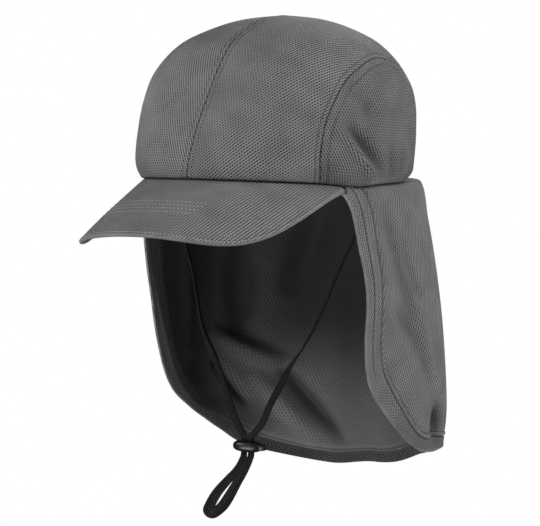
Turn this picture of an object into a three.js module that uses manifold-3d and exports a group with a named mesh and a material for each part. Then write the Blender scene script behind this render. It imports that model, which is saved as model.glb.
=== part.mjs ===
// Cooling cap: a soft mesh-cloth cap with a peak, a neck cape that hangs round the sides and back,
// and a chin cord with a spring cord lock.
// Millimetres, +Z up, the peak points along -Y and the wearer's left is +X.
// The origin is the middle of the head opening, level with the crown's lower edge.
import * as THREE from "three";
import { mergeVertices } from "three/addons/utils/BufferGeometryUtils.js";
import Module from "manifold-3d";

// Head opening and cloth
const HEAD_LENGTH = 207; // inside the lower edge, front to back
const HEAD_WIDTH = 163; // inside the lower edge, side to side
const CLOTH = 1.5; // knitted mesh with its lining
const GAP = 0.3; // between one sewn piece and the next

// Crown
const CROWN_HEIGHT = 114;
const FRONT_RISE = 6; // how far the lower edge lifts over the forehead
const RISE_ANGLE = 100; // degrees from the front where that lift has died out
const FOOT_DIP = 2; // how far the lower edge dips behind the peak's ends
const DIP_ANGLE = 72;
const DIP_SPREAD = 12;
const SIDE_SWELL = 1.5; // how far the side panels swell past their seams

// Peak
const PEAK_DEPTH = 72; // from the crown's lower edge to the front
const PEAK_THICKNESS = 3; // board and two layers of cloth
const PEAK_END_ANGLE = 64; // degrees from the front where the peak ends
const PEAK_END_WIDTH = 3; // how far it still stands out at its ends
const PEAK_SLOPE = 23; // degrees below level
const PEAK_CAMBER = 50; // how far its sides would droop where it is full width and full depth
const CAMBER_ACROSS = 3.9; // the droop's power of the share of the width
const CAMBER_OUT = 1.7; // and of the share of the depth
const PEAK_TWIST = 2.5; // how much higher its left corner rides than its middle, and its right one lower
const PEAK_CORNERS = 0.087; // how much fuller than an ellipse its two corners are
const PEAK_CROWNING = 2.5; // how far its upper side swells between its two edges

// Neck cape
const CAPE_DROP = 212; // at the middle of the back
const CAPE_CLOTH = 1.5;
const CAPE_BAND = 15.5; // the strip sewn along each front edge
const HEM_BAND = 7.5; // its width round the hem, as far as the middle of the back
const BAND_FULL = 0.36; // share of the outline down to which it keeps its full width
const BAND_TAPERED = 0.66; // where it is down to the hem's width
const BAND_GAP = 0.5; // between the strip and the cape, measured on the cloth laid flat
const ROLL_UP = 4.5; // how far the cape's turned-over top stands up behind the ears
const ROLL_OUT = 4; // and out
const ROLL_ANGLES = [88, 118]; // degrees over which it rises
const ROLL_RUN = 0.055; // share of the way down where its crest lies
const ROLL_SPREADS = [0.022, 0.06]; // its reach above and below the crest
const CAPE_CURL = 13; // how far the front edges and corners curl in
const CURL_ANGLE = 30; // degrees from the outline over which that curl dies out
const CURL_START = 0.3; // share of the way down where it starts
const CURL_FULL = 0.72; // where it is whole
const CURL_FADE = 0.88; // where it starts to go
const CURL_END = 0.98; // where it has gone, at the back of the hem
const HEM_LEVEL_ANGLES = [162, 180]; // degrees over which the hem's sways die out at the back

// Chin cord and its lock
const CORD_DIAMETER = 3.2; // the round tube with the same cross-section as the flat braid
const CORD_SIDES = 8;
const CORD_STEPS = 76;
const STRAND_SPACING = 5; // the two strands side by side in the lock
const LOCK_LENGTH = 20;
const LOCK_DEPTH = 11.5;
const LOCK_HEIGHT = 8;
const LOCK_POWER = 2.7; // 2 is an egg, more is squarer
const LOCK_TURN = 20; // degrees about the vertical
const LOCK_TILT = 4; // degrees, its button end lower
const LOCK_PLACE = [0, -34, -178];
const LOCK_WALL = 2; // at the closed end of the bore
const PLUNGER_HEIGHT = 4.4;
const PLUNGER_DEPTH = 6.8;
const PLUNGER_NUB = 3.2; // how far the button stands out
const PLUNGER_TRAVEL = 2.2;
const PLUNGER_POWER = 5; // squarer than the lock
const FIT = 0.3; // clearance round the plunger and the cord

// How finely each piece of cloth is faceted
const SIDE_CELLS = { across: 10, up: 7 };
const PANEL_CELLS = { across: 10, along: SIDE_CELLS.across + 2 * SIDE_CELLS.up };
const PEAK_CELLS = { across: 28, out: 6 };
const CAPE_CELLS = { across: 44, down: 16 };
const BAND_CELLS = { across: 2 };
const TOP_CROWDING = 1.6; // more brings the cape's rows closer together at its top

// Colours
const MESH_GREY = 0x6b6a6a;
const CORD_BLACK = 0x121212;
const LOCK_BLACK = 0x1c1c1c;

// Crown sections from the lower edge to the top.
// run: share of the way up the wall, height: share of CROWN_HEIGHT,
// width and length: shares of the half opening, lean: backward shift as a share of the half length,
// square: the section's power, 2 for an ellipse and more for a squarer one
const CROWN_ROWS = [
  { run: 0.0, height: 0.0, width: 1.0, length: 1.0, lean: 0.0, square: 2.0 },
  { run: 0.043, height: 0.06, width: 1.05, length: 0.996, lean: 0.0, square: 2.05 },
  { run: 0.09, height: 0.13, width: 1.07, length: 0.975, lean: -0.002, square: 2.1 },
  { run: 0.204, height: 0.3, width: 1.055, length: 0.924, lean: 0.024, square: 2.3 },
  { run: 0.331, height: 0.482, width: 1.055, length: 0.832, lean: 0.045, square: 2.4 },
  { run: 0.458, height: 0.658, width: 1.005, length: 0.72, lean: 0.055, square: 2.4 },
  { run: 0.6, height: 0.82, width: 0.83, length: 0.57, lean: 0.06, square: 2.3 },
  { run: 0.722, height: 0.912, width: 0.61, length: 0.4, lean: 0.075, square: 2.15 },
  { run: 0.85, height: 0.972, width: 0.345, length: 0.225, lean: 0.09, square: 2.05 },
  { run: 1.0, height: 1.0, width: 0.0, length: 0.0, lean: 0.105, square: 2.0 },
];

// Seam of the domed side panel, from its foot behind the peak over the ear to its foot at the back.
// along: share of the seam, angle: degrees from the front, run: share of the way up the wall
const ARCH_ROWS = [
  { along: 0.0, angle: 51.5, run: 0.0 },
  { along: 0.12, angle: 51, run: 0.15 },
  { along: 0.24, angle: 54, run: 0.29 },
  { along: 0.36, angle: 65, run: 0.44 },
  { along: 0.5, angle: 90, run: 0.527 },
  { along: 0.64, angle: 119, run: 0.455 },
  { along: 0.76, angle: 140, run: 0.32 },
  { along: 0.88, angle: 151, run: 0.16 },
  { along: 1.0, angle: 154, run: 0.0 },
];
const ARCH_CORNERS = [0.3, 0.7]; // where the seam's legs turn into its top

// Cape sections from the crown's lower edge down.
// run: share of the way down the cloth, drop: share of CAPE_DROP, width and length: shares of the half
// opening, lean: backward shift as a share of the half length, square: the section's power,
// shift: sideways to the wearer's left, as a share of the half width
const CAPE_ROWS = [
  { run: 0.0, drop: 0.004, width: 0.985, length: 0.985, lean: 0.0, square: 2.0, shift: 0.0 },
  { run: 0.03, drop: 0.0065, width: 1.022, length: 1.018, lean: 0.003, square: 2.0, shift: 0.0 },
  { run: 0.06, drop: 0.024, width: 1.045, length: 1.035, lean: 0.015, square: 2.2, shift: -0.003 },
  { run: 0.14, drop: 0.09, width: 1.068, length: 1.06, lean: 0.04, square: 2.5, shift: 0.004 },
  { run: 0.42, drop: 0.38, width: 1.11, length: 1.13, lean: 0.085, square: 2.6, shift: 0.028 },
  { run: 0.71, drop: 0.68, width: 1.165, length: 1.18, lean: 0.115, square: 2.7, shift: -0.008 },
  { run: 1.0, drop: 1.0, width: 1.17, length: 1.22, lean: 0.125, square: 2.7, shift: 0.005 },
];

// Outline of the cape from the top of its front edge round the corner to the middle of the back.
// along: share of the outline, angle: degrees from the front, run: share of the way down the cloth
const OUTLINE_ROWS = [
  { along: 0.0, angle: 62, run: 0.1 },
  { along: 0.06, angle: 65, run: 0.19 },
  { along: 0.18, angle: 67.5, run: 0.37 },
  { along: 0.29, angle: 70, run: 0.54 },
  { along: 0.38, angle: 77, run: 0.675 },
  { along: 0.49, angle: 93, run: 0.785 },
  { along: 0.57, angle: 107, run: 0.845 },
  { along: 0.65, angle: 122, run: 0.9 },
  { along: 0.74, angle: 137, run: 0.945 },
  { along: 0.83, angle: 151, run: 0.975 },
  { along: 0.915, angle: 166, run: 0.994 },
  { along: 1.0, angle: 180, run: 1.0 },
];
const OUTLINE_CORNER = 0.45; // share of the outline taken as the cloth's front corner
const TOP_ANGLES = [64, 72]; // degrees over which the cape's top rises from under the peak

// Where the worn cape's outline hangs lower or rides higher than the cut one.
// side: 1 for the wearer's left, angle: degrees from the front, spread: degrees each way, drop: millimetres
const HEM_SWAYS = [
  { side: 1, angle: 110, spread: 14, drop: 4.5 },
  { side: 1, angle: 147, spread: 20, drop: -10.5 },
  { side: 1, angle: 168, spread: 10, drop: -2 },
  { side: -1, angle: 80, spread: 12, drop: 4 },
  { side: -1, angle: 135, spread: 30, drop: 3 },
  { side: -1, angle: 165, spread: 20, drop: 3.5 },
];

// Folds in the cloth, each a soft ridge or valley along a short line on the surface.
// angle and run: where it starts, angle2 and run2: where it ends,
// width: share of HEAD_WIDTH to where it fades, depth: share of HEAD_WIDTH, out of the surface if positive
const CROWN_FOLDS = [
  { angle: 66, run: 0.2, angle2: 85, run2: 0.08, width: 0.05, depth: -0.022 },
  { angle: 59, run: 0.2, angle2: 84, run2: 0.02, width: 0.04, depth: 0.013 },
  { angle: 69, run: 0.34, angle2: 74, run2: 0.28, width: 0.07, depth: -0.014 },
  { angle: 92, run: 0.14, angle2: 94, run2: 0.03, width: 0.035, depth: -0.012 },
  { angle: 103, run: 0.15, angle2: 105, run2: 0.03, width: 0.035, depth: -0.009 },
  { angle: -27, run: 0.27, angle2: -11, run2: 0.38, width: 0.05, depth: -0.01 },
  { angle: -30, run: 0.17, angle2: -20, run2: 0.08, width: 0.07, depth: 0.01 },
  { angle: 41, run: 0.27, angle2: 47, run2: 0.24, width: 0.06, depth: -0.006 },
  { angle: -75, run: 0.2, angle2: -95, run2: 0.08, width: 0.06, depth: -0.016 },
  { angle: 172, run: 0.12, angle2: 168, run2: 0.03, width: 0.06, depth: -0.01 },
];
const CAPE_FOLDS = [
  { angle: 85, run: 0.11, angle2: 110, run2: 0.64, width: 0.075, depth: -0.026 },
  { angle: 109, run: 0.11, angle2: 124, run2: 0.75, width: 0.075, depth: 0.024 },
  { angle: 122, run: 0.76, angle2: 128, run2: 0.85, width: 0.055, depth: -0.03 },
  { angle: 145, run: 0.15, angle2: 150, run2: 0.8, width: 0.09, depth: -0.03 },
  { angle: 171, run: 0.3, angle2: 170, run2: 0.95, width: 0.07, depth: 0.02 },
  { angle: 187, run: 0.4, angle2: 190, run2: 0.93, width: 0.06, depth: -0.02 },
  { angle: 243, run: 0.58, angle2: 211, run2: 0.7, width: 0.06, depth: -0.045 },
  { angle: 213, run: 0.71, angle2: 195, run2: 0.93, width: 0.055, depth: 0.045 },
  { angle: 243, run: 0.66, angle2: 226, run2: 0.79, width: 0.05, depth: 0.035 },
  { angle: 196, run: 0.16, angle2: 209, run2: 0.42, width: 0.075, depth: 0.04 },
  { angle: 231, run: 0.3, angle2: 231, run2: 0.54, width: 0.09, depth: 0.035 },
  { angle: 263, run: 0.2, angle2: 266, run2: 0.6, width: 0.06, depth: -0.022 },
];

// The chin cord's route, chosen by hand: from over the wearer's right ear down to the lock, round the
// loop that hangs below it and back up to the left ear.
const CORD_ROUTE = [
  [-80.6, -0.8, -2.65],
  [-73.6, -6.5, -24],
  [-66.7, -11.2, -43.7],
  [-57, -15.7, -65.3],
  [-47.7, -20.9, -94],
  [-41.3, -23.3, -107.2],
  [-34.9, -25, -117],
  [-27.1, -27.3, -130.1],
  [-20.2, -29.5, -143.1],
  [-12.6, -32.1, -158],
  [-4.8, -34.4, -168.4],
  [-2.35, -34.86, -173],
  [-2.35, -34.86, -183],
  [-3.4, -35.3, -187.4],
  [-5.8, -36, -192.5],
  [-9.3, -36.4, -197],
  [-13.7, -36.7, -201.5],
  [-23.1, -37.3, -211.8],
  [-29.5, -37.5, -222.1],
  [-30, -37.5, -225.2],
  [-27.5, -37.4, -226.9],
  [-24.1, -37.3, -225.2],
  [-17.9, -37, -219.7],
  [-12.4, -36.7, -211.9],
  [-7.1, -36.2, -203.3],
  [-2.4, -35.4, -195.7],
  [1, -34, -188.1],
  [2.35, -33.14, -183],
  [2.35, -33.14, -173],
  [5.6, -33, -168.2],
  [11.2, -32.4, -161.2],
  [16.1, -31, -149.5],
  [23.5, -28.7, -135],
  [30.1, -26.6, -122],
  [39.6, -24.1, -107.5],
  [50, -20.4, -86.4],
  [61.2, -14.6, -55.5],
  [68.5, -11.2, -38.7],
  [74.2, -6.5, -22],
  [80.6, -0.8, -2.65],
];

const HALF_WIDTH = HEAD_WIDTH / 2 + CLOTH;
const HALF_LENGTH = HEAD_LENGTH / 2 + CLOTH;
const DEGREE = Math.PI / 180;

// A smooth curve through one column of a table.
function column(rows, key, name, at) {
  let i = 0;
  while (i < rows.length - 2 && at >= rows[i + 1][key]) i += 1;
  const slope = (j) => {
    const before = rows[Math.max(j - 1, 0)];
    const after = rows[Math.min(j + 1, rows.length - 1)];
    return (after[name] - before[name]) / (after[key] - before[key]);
  };
  const span = rows[i + 1][key] - rows[i][key];
  const t = (at - rows[i][key]) / span;
  const u = 1 - t;
  return (
    (1 + 2 * t) * u * u * rows[i][name] +
    t * t * (3 - 2 * t) * rows[i + 1][name] +
    t * u * span * (u * slope(i) - t * slope(i + 1))
  );
}

const mix = (a, b, t) => a + (b - a) * t;

// 0 below the first value, 1 above the second, and smooth between them.
function ease(low, high, at) {
  const t = THREE.MathUtils.clamp((at - low) / (high - low), 0, 1);
  return t * t * (3 - 2 * t);
}

// An angle from the front, made to lie between -180 and 180 degrees.
const wrapped = (angle) => ((((angle + 180) % 360) + 360) % 360) - 180;

// A point on an oval section: which way it lies from the middle, and the section's row of shares.
function onSection(rows, angle, run, height) {
  const value = (name) => column(rows, "run", name, run);
  const power = value("square");
  const across = Math.max(value("width"), 1e-6) * HALF_WIDTH;
  const along = Math.max(value("length"), 1e-6) * HALF_LENGTH;
  const sine = Math.sin(angle * DEGREE);
  const cosine = Math.cos(angle * DEGREE);
  const radius =
    ((Math.abs(sine) / across) ** power + (Math.abs(cosine) / along) ** power) ** (-1 / power);
  return new THREE.Vector3(
    radius * sine,
    value("lean") * HALF_LENGTH - radius * cosine,
    height(value),
  );
}

// How far the folds lift a point of a surface that is `reach` long from its first run to its last.
function foldLift(folds, angle, run, reach) {
  const degree = (HALF_WIDTH + HALF_LENGTH) * 0.5 * DEGREE;
  return folds.reduce((lift, fold) => {
    const x = wrapped(angle - fold.angle) * degree;
    const y = (run - fold.run) * reach;
    const dx = wrapped(fold.angle2 - fold.angle) * degree;
    const dy = (fold.run2 - fold.run) * reach;
    const t = THREE.MathUtils.clamp((x * dx + y * dy) / (dx * dx + dy * dy), 0, 1);
    const off = Math.hypot(x - dx * t, y - dy * t) / (fold.width * HEAD_WIDTH);
    return lift + fold.depth * HEAD_WIDTH * Math.exp(-2 * off * off);
  }, 0);
}

// The same point moved out along the surface's own normal. `facing` is 1 where runs go up, -1 where down.
function lifted(surface, angle, run, out, facing) {
  const step = 1e-3;
  const level = THREE.MathUtils.clamp(run, step, 1 - step);
  const across = surface(angle + 1, level).sub(surface(angle - 1, level));
  const up = surface(angle, level + step).sub(surface(angle, level - step));
  const normal = across.cross(up).normalize().multiplyScalar(facing);
  return surface(angle, run).addScaledVector(normal, out);
}

// Crown
const CROWN_REACH = CROWN_HEIGHT * 1.49; // along the cloth from the lower edge to the top
function rise(angle) {
  const turn = Math.abs(wrapped(angle));
  const dip = FOOT_DIP * Math.exp(-(((turn - DIP_ANGLE) / DIP_SPREAD) ** 2));
  return FRONT_RISE * 0.5 * (1 + Math.cos(Math.PI * Math.min(turn / RISE_ANGLE, 1))) - dip;
}

function bareCrown(angle, run) {
  return onSection(
    CROWN_ROWS,
    angle,
    run,
    (value) => CROWN_HEIGHT * value("height") + rise(angle) * (1 - run) ** 3,
  );
}

function crown(angle, run) {
  const quiet = ease(0, 0.04, run) * ease(0, 0.3, 1 - run);
  return lifted(bareCrown, angle, run, foldLift(CROWN_FOLDS, angle, run, CROWN_REACH) * quiet, 1);
}

// The dome laid flat: the top is the middle and the lower edge is a circle of radius 1.
function onDome(x, y) {
  return crown(Math.atan2(x, y) / DEGREE, Math.max(1 - Math.hypot(x, y), 0));
}
const flat = (angle, run) => [(1 - run) * Math.sin(angle * DEGREE), (1 - run) * Math.cos(angle * DEGREE)];

// A patch that fills four edge curves, each a function from 0..1 to a pair of numbers.
function patch(bottom, top, left, right) {
  const blend = (s, t, i) =>
    mix(bottom(s)[i], top(s)[i], t) +
    mix(left(t)[i], right(t)[i], s) -
    mix(mix(bottom(0)[i], bottom(1)[i], s), mix(top(0)[i], top(1)[i], s), t);
  return (s, t) => [blend(s, t, 0), blend(s, t, 1)];
}

// A closed wall under a surface of (s, t), which looks away from the point `core`. Its normals are taken
// a little way in from the edges, where the two directions never fall in line.
function wall(surface, columns, rows, thickness, core) {
  const step = 1e-3;
  const edge = 0.02;
  const upper = [];
  const lower = [];
  for (let j = 0; j <= rows; j += 1) {
    for (let i = 0; i <= columns; i += 1) {
      const s = i / columns;
      const t = j / rows;
      const point = surface(s, t);
      const u = THREE.MathUtils.clamp(s, edge, 1 - edge);
      const v = THREE.MathUtils.clamp(t, edge, 1 - edge);
      const across = surface(u + step, v).sub(surface(u - step, v));
      const along = surface(u, v + step).sub(surface(u, v - step));
      const normal = across.cross(along).normalize();
      if (normal.dot(point.clone().sub(core)) < 0) normal.negate();
      upper.push(point);
      lower.push(point.clone().addScaledVector(normal, -thickness));
    }
  }
  const row = columns + 1;
  const far = upper.length;
  const faces = [];
  const quad = (a, b, c, d) => faces.push(a, b, c, a, c, d);
  for (let j = 0; j < rows; j += 1) {
    for (let i = 0; i < columns; i += 1) {
      const a = j * row + i;
      quad(a, a + 1, a + row + 1, a + row);
      quad(far + a, far + a + row, far + a + row + 1, far + a + 1);
    }
  }
  for (let i = 0; i < columns; i += 1) {
    const b = rows * row + i;
    quad(i, far + i, far + i + 1, i + 1);
    quad(b, b + 1, far + b + 1, far + b);
  }
  for (let j = 0; j < rows; j += 1) {
    const a = j * row;
    const b = a + columns;
    quad(a, a + row, far + a + row, far + a);
    quad(b, far + b, far + b + row, b + row);
  }
  const points = upper.concat(lower);
  const ends = [points[0], points[columns], points[row]];
  const looks = ends[1].clone().sub(ends[0]).cross(ends[2].clone().sub(ends[0]));
  if (looks.dot(ends[0].clone().sub(core)) < 0) faces.reverse();
  const geometry = new THREE.BufferGeometry().setFromPoints(points);
  geometry.setIndex(faces);
  return geometry;
}

const CROWN_CORE = new THREE.Vector3(0, 0, CROWN_HEIGHT * 0.1);
const archAt = (t) => [column(ARCH_ROWS, "along", "angle", t), column(ARCH_ROWS, "along", "run", t)];
const archFoot = archAt(0)[0];
const archHeel = archAt(1)[0];

// The share of the arch's seam at a share of the crown panel's cells, which meet the side panel's.
function archShare(t) {
  const [turn, bend] = ARCH_CORNERS;
  const leg = SIDE_CELLS.up / PANEL_CELLS.along;
  if (t < leg) return mix(0, turn, t / leg);
  if (t > 1 - leg) return mix(1, bend, (1 - t) / leg);
  return mix(turn, bend, (t - leg) / (1 - 2 * leg));
}

// One half of the middle of the crown, from the side panel's seam to the seam over the top of the head.
function crownPanel(side) {
  const front = (s) => flat(mix(archFoot, 0, s), 0);
  const back = (s) => flat(mix(archHeel, 180, s), 0);
  const seam = (t) => flat(...archAt(archShare(t)));
  const middle = (t) => [(GAP * 0.75) / CROWN_REACH, 1 - 2 * t];
  const shape = patch(front, back, seam, middle);
  return wall(
    (s, t) => {
      const [x, y] = shape(s, t);
      return onDome(side * x, y);
    },
    PANEL_CELLS.across,
    PANEL_CELLS.along,
    CLOTH,
    CROWN_CORE,
  );
}

// The domed panel over one ear. It swells a little past the seam round it.
function sidePanel(side) {
  const [turn, bend] = ARCH_CORNERS;
  const centre = (archFoot + archHeel) / 2;
  const shrink = 1 - GAP / HALF_WIDTH;
  const seam = (t) => {
    const [angle, run] = archAt(t);
    return [mix(centre, angle, shrink), run * shrink];
  };
  const foot = (s) => [mix(seam(0)[0], seam(1)[0], s), 0];
  const top = (s) => seam(mix(turn, bend, s));
  const front = (t) => seam(mix(0, turn, t));
  const back = (t) => seam(mix(1, bend, t));
  const shape = patch(foot, top, front, back);
  return wall(
    (s, t) => {
      const [angle, run] = shape(s, t);
      const rim = Math.min(s, 1 - s, 1 - t);
      const swell = SIDE_SWELL * ease(0, 0.14, rim) * ease(0, 0.1, t);
      return lifted(crown, side * angle, run, swell, 1);
    },
    SIDE_CELLS.across,
    SIDE_CELLS.up,
    CLOTH,
    CROWN_CORE,
  );
}

// Peak: a crescent whose inner edge lies just under the crown's lower edge.
function peak() {
  const level = new THREE.Vector3(0, -HALF_LENGTH, -1e4);
  const end = bareCrown(PEAK_END_ANGLE, 0);
  const half = end.x + PEAK_END_WIDTH;
  const reach = HALF_LENGTH + PEAK_DEPTH + end.y;
  const surface = (s, t) => {
    const u = 2 * s - 1;
    const rim = bareCrown(PEAK_END_ANGLE * u, 0);
    const inner = rim.clone().multiplyScalar(1 - CLOTH / Math.hypot(rim.x, rim.y)).setZ(rim.z - 2 * GAP);
    const turn = (Math.PI / 2) * u;
    const x = half * Math.sin(turn);
    const y = end.y - reach * Math.cos(turn) * (1 + PEAK_CORNERS * Math.sin(2 * turn) ** 2);
    const out = Math.hypot(x - inner.x, y - inner.y);
    const droop = PEAK_CAMBER * Math.abs(x / half) ** CAMBER_ACROSS - PEAK_TWIST * (x / half);
    const z = inner.z - Math.tan(PEAK_SLOPE * DEGREE) * out - droop * (out / PEAK_DEPTH) ** CAMBER_OUT;
    const point = inner.lerp(new THREE.Vector3(x, y, z), t);
    point.z += PEAK_CROWNING * 4 * t * (1 - t) * Math.min(out / PEAK_DEPTH, 1);
    return point;
  };
  return wall(surface, PEAK_CELLS.across, PEAK_CELLS.out, PEAK_THICKNESS, level);
}

// Cape
function bareCape(angle, run) {
  const point = onSection(
    CAPE_ROWS,
    angle,
    run,
    (value) => rise(angle) * (1 - run) ** 6 - CAPE_DROP * value("drop"),
  );
  const off = (run - ROLL_RUN) / ROLL_SPREADS[run < ROLL_RUN ? 0 : 1];
  const roll = ease(...ROLL_ANGLES, Math.abs(wrapped(angle))) * Math.exp(-off * off);
  point.x += Math.sin(angle * DEGREE) * ROLL_OUT * roll + column(CAPE_ROWS, "run", "shift", run) * HALF_WIDTH;
  point.y -= Math.cos(angle * DEGREE) * ROLL_OUT * roll;
  point.z += ROLL_UP * roll;
  const past = Math.max(Math.abs(wrapped(angle)) - outlineAngle(run), 0) / CURL_ANGLE;
  const strength = ease(CURL_START, CURL_FULL, run) * (1 - ease(CURL_FADE, CURL_END, run));
  point.x -= Math.sin(angle * DEGREE) * CAPE_CURL * strength * Math.exp(-past * past);
  return point;
}

function cape(angle, run) {
  const quiet = ease(0.06, 0.16, run);
  return lifted(bareCape, angle, run, foldLift(CAPE_FOLDS, angle, run, CAPE_DROP) * quiet, -1);
}

// The angle at which the outline passes a given run.
function outlineAngle(run) {
  const i = OUTLINE_ROWS.findIndex((row) => row.run > run);
  if (i === 0) return OUTLINE_ROWS[0].angle;
  if (i < 0) return OUTLINE_ROWS.at(-1).angle;
  const [low, high] = [OUTLINE_ROWS[i - 1], OUTLINE_ROWS[i]];
  return mix(low.angle, high.angle, (run - low.run) / (high.run - low.run));
}

// The outline of one side, 1 for the wearer's left, with the sways of its hem.
function outline(side, along) {
  const angle = column(OUTLINE_ROWS, "along", "angle", along);
  const run = column(OUTLINE_ROWS, "along", "run", along);
  const sways = HEM_SWAYS.filter((sway) => sway.side === side);
  const drop = sways.reduce(
    (total, sway) => total + sway.drop * Math.exp(-(((angle - sway.angle) / sway.spread) ** 2)),
    0,
  );
  return [angle, run + (drop * (1 - ease(...HEM_LEVEL_ANGLES, angle))) / CAPE_DROP];
}

// The share of the outline at each of the cells along it, which the cape and its bands have in common.
const edgeShare = (t) => OUTLINE_CORNER * t ** TOP_CROWDING;
const hemShare = (t) => mix(OUTLINE_CORNER, 1, t);
const BAND_ROWS = CAPE_CELLS.down + CAPE_CELLS.across / 2;
const BACK_ANGLE = 180 - 0.15; // where each strip stops, just short of the other

const bandWidth = (along) => mix(CAPE_BAND, HEM_BAND, ease(BAND_FULL, BAND_TAPERED, along));

const topRun = (angle) => OUTLINE_ROWS[0].run * (1 - ease(TOP_ANGLES[0], TOP_ANGLES[1], angle));

// The line `width` millimetres inside the outline, and its top brought up to the cape's own top.
function inset(side, along, width) {
  const step = 1e-3;
  const degree = HALF_WIDTH * 1.1 * DEGREE;
  const [angle, run] = outline(side, along);
  const before = outline(side, Math.max(along - step, 0));
  const after = outline(side, Math.min(along + step, 1));
  const dx = (after[0] - before[0]) * degree;
  const dy = (after[1] - before[1]) * CAPE_DROP;
  const length = Math.hypot(dx, dy);
  const x = angle + ((dy / length) * width) / degree;
  const y = run - ((dx / length) * width) / CAPE_DROP;
  const climb = (y - topRun(x)) * (1 - ease(0, 0.1, along));
  return [x, y - climb];
}

const CAPE_CORE = new THREE.Vector3(0, 0, -CAPE_DROP * 0.3);

// The strip sewn along one front edge and on round the hem to the middle of the back.
function capeBand(side) {
  const corner = CAPE_CELLS.down / BAND_ROWS;
  return wall(
    (s, t) => {
      const along = t < corner ? edgeShare(t / corner) : hemShare((t - corner) / (1 - corner));
      const [angle, run] = inset(side, along, (bandWidth(along) - BAND_GAP / 2) * s);
      return cape(side * Math.min(angle, BACK_ANGLE), run);
    },
    BAND_CELLS.across,
    BAND_ROWS,
    CAPE_CLOTH,
    CAPE_CORE,
  );
}

// The one large piece that hangs from ear to ear round the back.
function neckCape() {
  const edge = (side, along) => {
    const [angle, run] = inset(side, along, bandWidth(along) + BAND_GAP / 2);
    return [side > 0 ? angle : 360 - angle, run];
  };
  const left = (t) => edge(1, edgeShare(t));
  const right = (t) => edge(-1, edgeShare(t));
  const hem = (s) => (s < 0.5 ? edge(1, hemShare(s * 2)) : edge(-1, hemShare(2 - s * 2)));
  const top = (s) => {
    const angle = mix(left(0)[0], right(0)[0], s);
    return [angle, topRun(Math.abs(wrapped(angle)))];
  };
  const shape = patch(top, hem, left, right);
  return wall(
    (s, t) => cape(...shape(s, t)),
    CAPE_CELLS.across,
    CAPE_CELLS.down,
    CAPE_CLOTH,
    CAPE_CORE,
  );
}

// Chin cord: one tube from ear to ear through the lock.
function chinCord() {
  const radius = CORD_DIAMETER / 2;
  const corners = Array.from({ length: CORD_SIDES }, (_, i) => {
    const turn = (2 * Math.PI * i) / CORD_SIDES;
    return new THREE.Vector2(radius * Math.cos(turn), radius * Math.sin(turn));
  });
  const route = new THREE.CatmullRomCurve3(CORD_ROUTE.map((point) => new THREE.Vector3(...point)));
  return new THREE.ExtrudeGeometry(new THREE.Shape(corners), { steps: CORD_STEPS, extrudePath: route });
}

// Solids joined and cut
const wasm = await Module();
wasm.setup();

function solid(geometry) {
  const bare = geometry.clone();
  bare.deleteAttribute("normal");
  bare.deleteAttribute("uv");
  const merged = mergeVertices(bare, 1e-3);
  return new wasm.Manifold(
    new wasm.Mesh({
      numProp: 3,
      vertProperties: merged.attributes.position.array,
      triVerts: new Uint32Array(merged.index.array),
    }),
  );
}

function geometryOf(made) {
  const mesh = made.getMesh();
  const geometry = new THREE.BufferGeometry();
  geometry.setAttribute("position", new THREE.BufferAttribute(mesh.vertProperties, 3));
  geometry.setIndex(new THREE.BufferAttribute(mesh.triVerts, 1));
  return geometry;
}

// A squared egg, with its half sizes and its power.
function egg(half, power) {
  const geometry = new THREE.SphereGeometry(1, 28, 16);
  const place = geometry.attributes.position;
  const point = new THREE.Vector3();
  for (let i = 0; i < place.count; i += 1) {
    point.fromBufferAttribute(place, i);
    const shares = [point.x / half[0], point.y / half[1], point.z / half[2]];
    const sum = shares.reduce((total, share) => total + Math.abs(share) ** power, 0);
    point.multiplyScalar(sum ** (-1 / power));
    place.setXYZ(i, point.x, point.y, point.z);
  }
  return geometry;
}

const box = (low, high) =>
  new THREE.BoxGeometry(...high.map((value, i) => value - low[i])).translate(
    ...high.map((value, i) => (value + low[i]) / 2),
  );

// Cord lock, its length along X: the body, and the button that slides in it
const LOCK_HALF = [LOCK_LENGTH / 2, LOCK_DEPTH / 2, LOCK_HEIGHT / 2];
const STRANDS_HALF = (STRAND_SPACING + CORD_DIAMETER) / 2 + 2 * FIT; // half the room both strands take
const BORE_START = -LOCK_HALF[0] + LOCK_WALL;
const PLUNGER_START = BORE_START + PLUNGER_TRAVEL + FIT;
const PLUNGER_END = LOCK_HALF[0] + PLUNGER_NUB;

function lockBody() {
  const bore = box(
    [BORE_START, -PLUNGER_DEPTH / 2 - FIT, -PLUNGER_HEIGHT / 2 - FIT],
    [LOCK_LENGTH, PLUNGER_DEPTH / 2 + FIT, PLUNGER_HEIGHT / 2 + FIT],
  );
  const slot = box(
    [-STRANDS_HALF, -CORD_DIAMETER / 2 - FIT, -LOCK_HEIGHT],
    [STRANDS_HALF, CORD_DIAMETER / 2 + FIT, LOCK_HEIGHT],
  );
  return geometryOf(solid(egg(LOCK_HALF, LOCK_POWER)).subtract(solid(bore)).subtract(solid(slot)));
}

function lockPlunger() {
  const half = [(PLUNGER_END - PLUNGER_START) / 2, PLUNGER_DEPTH / 2, PLUNGER_HEIGHT / 2];
  const rod = egg(half, PLUNGER_POWER).translate((PLUNGER_END + PLUNGER_START) / 2, 0, 0);
  const slot = box(
    [-STRANDS_HALF, -CORD_DIAMETER / 2 - FIT, -LOCK_HEIGHT],
    [STRANDS_HALF + PLUNGER_TRAVEL, CORD_DIAMETER / 2 + FIT, LOCK_HEIGHT],
  );
  return geometryOf(solid(rod).subtract(solid(slot)));
}

// The assembly
function piece(name, geometry, colour, roughness) {
  const material = new THREE.MeshStandardMaterial({ color: colour, roughness, metalness: 0 });
  const mesh = new THREE.Mesh(geometry, material);
  mesh.name = name;
  return mesh;
}

const cloth = (name, geometry) => piece(name, geometry, MESH_GREY, 0.9);

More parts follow.
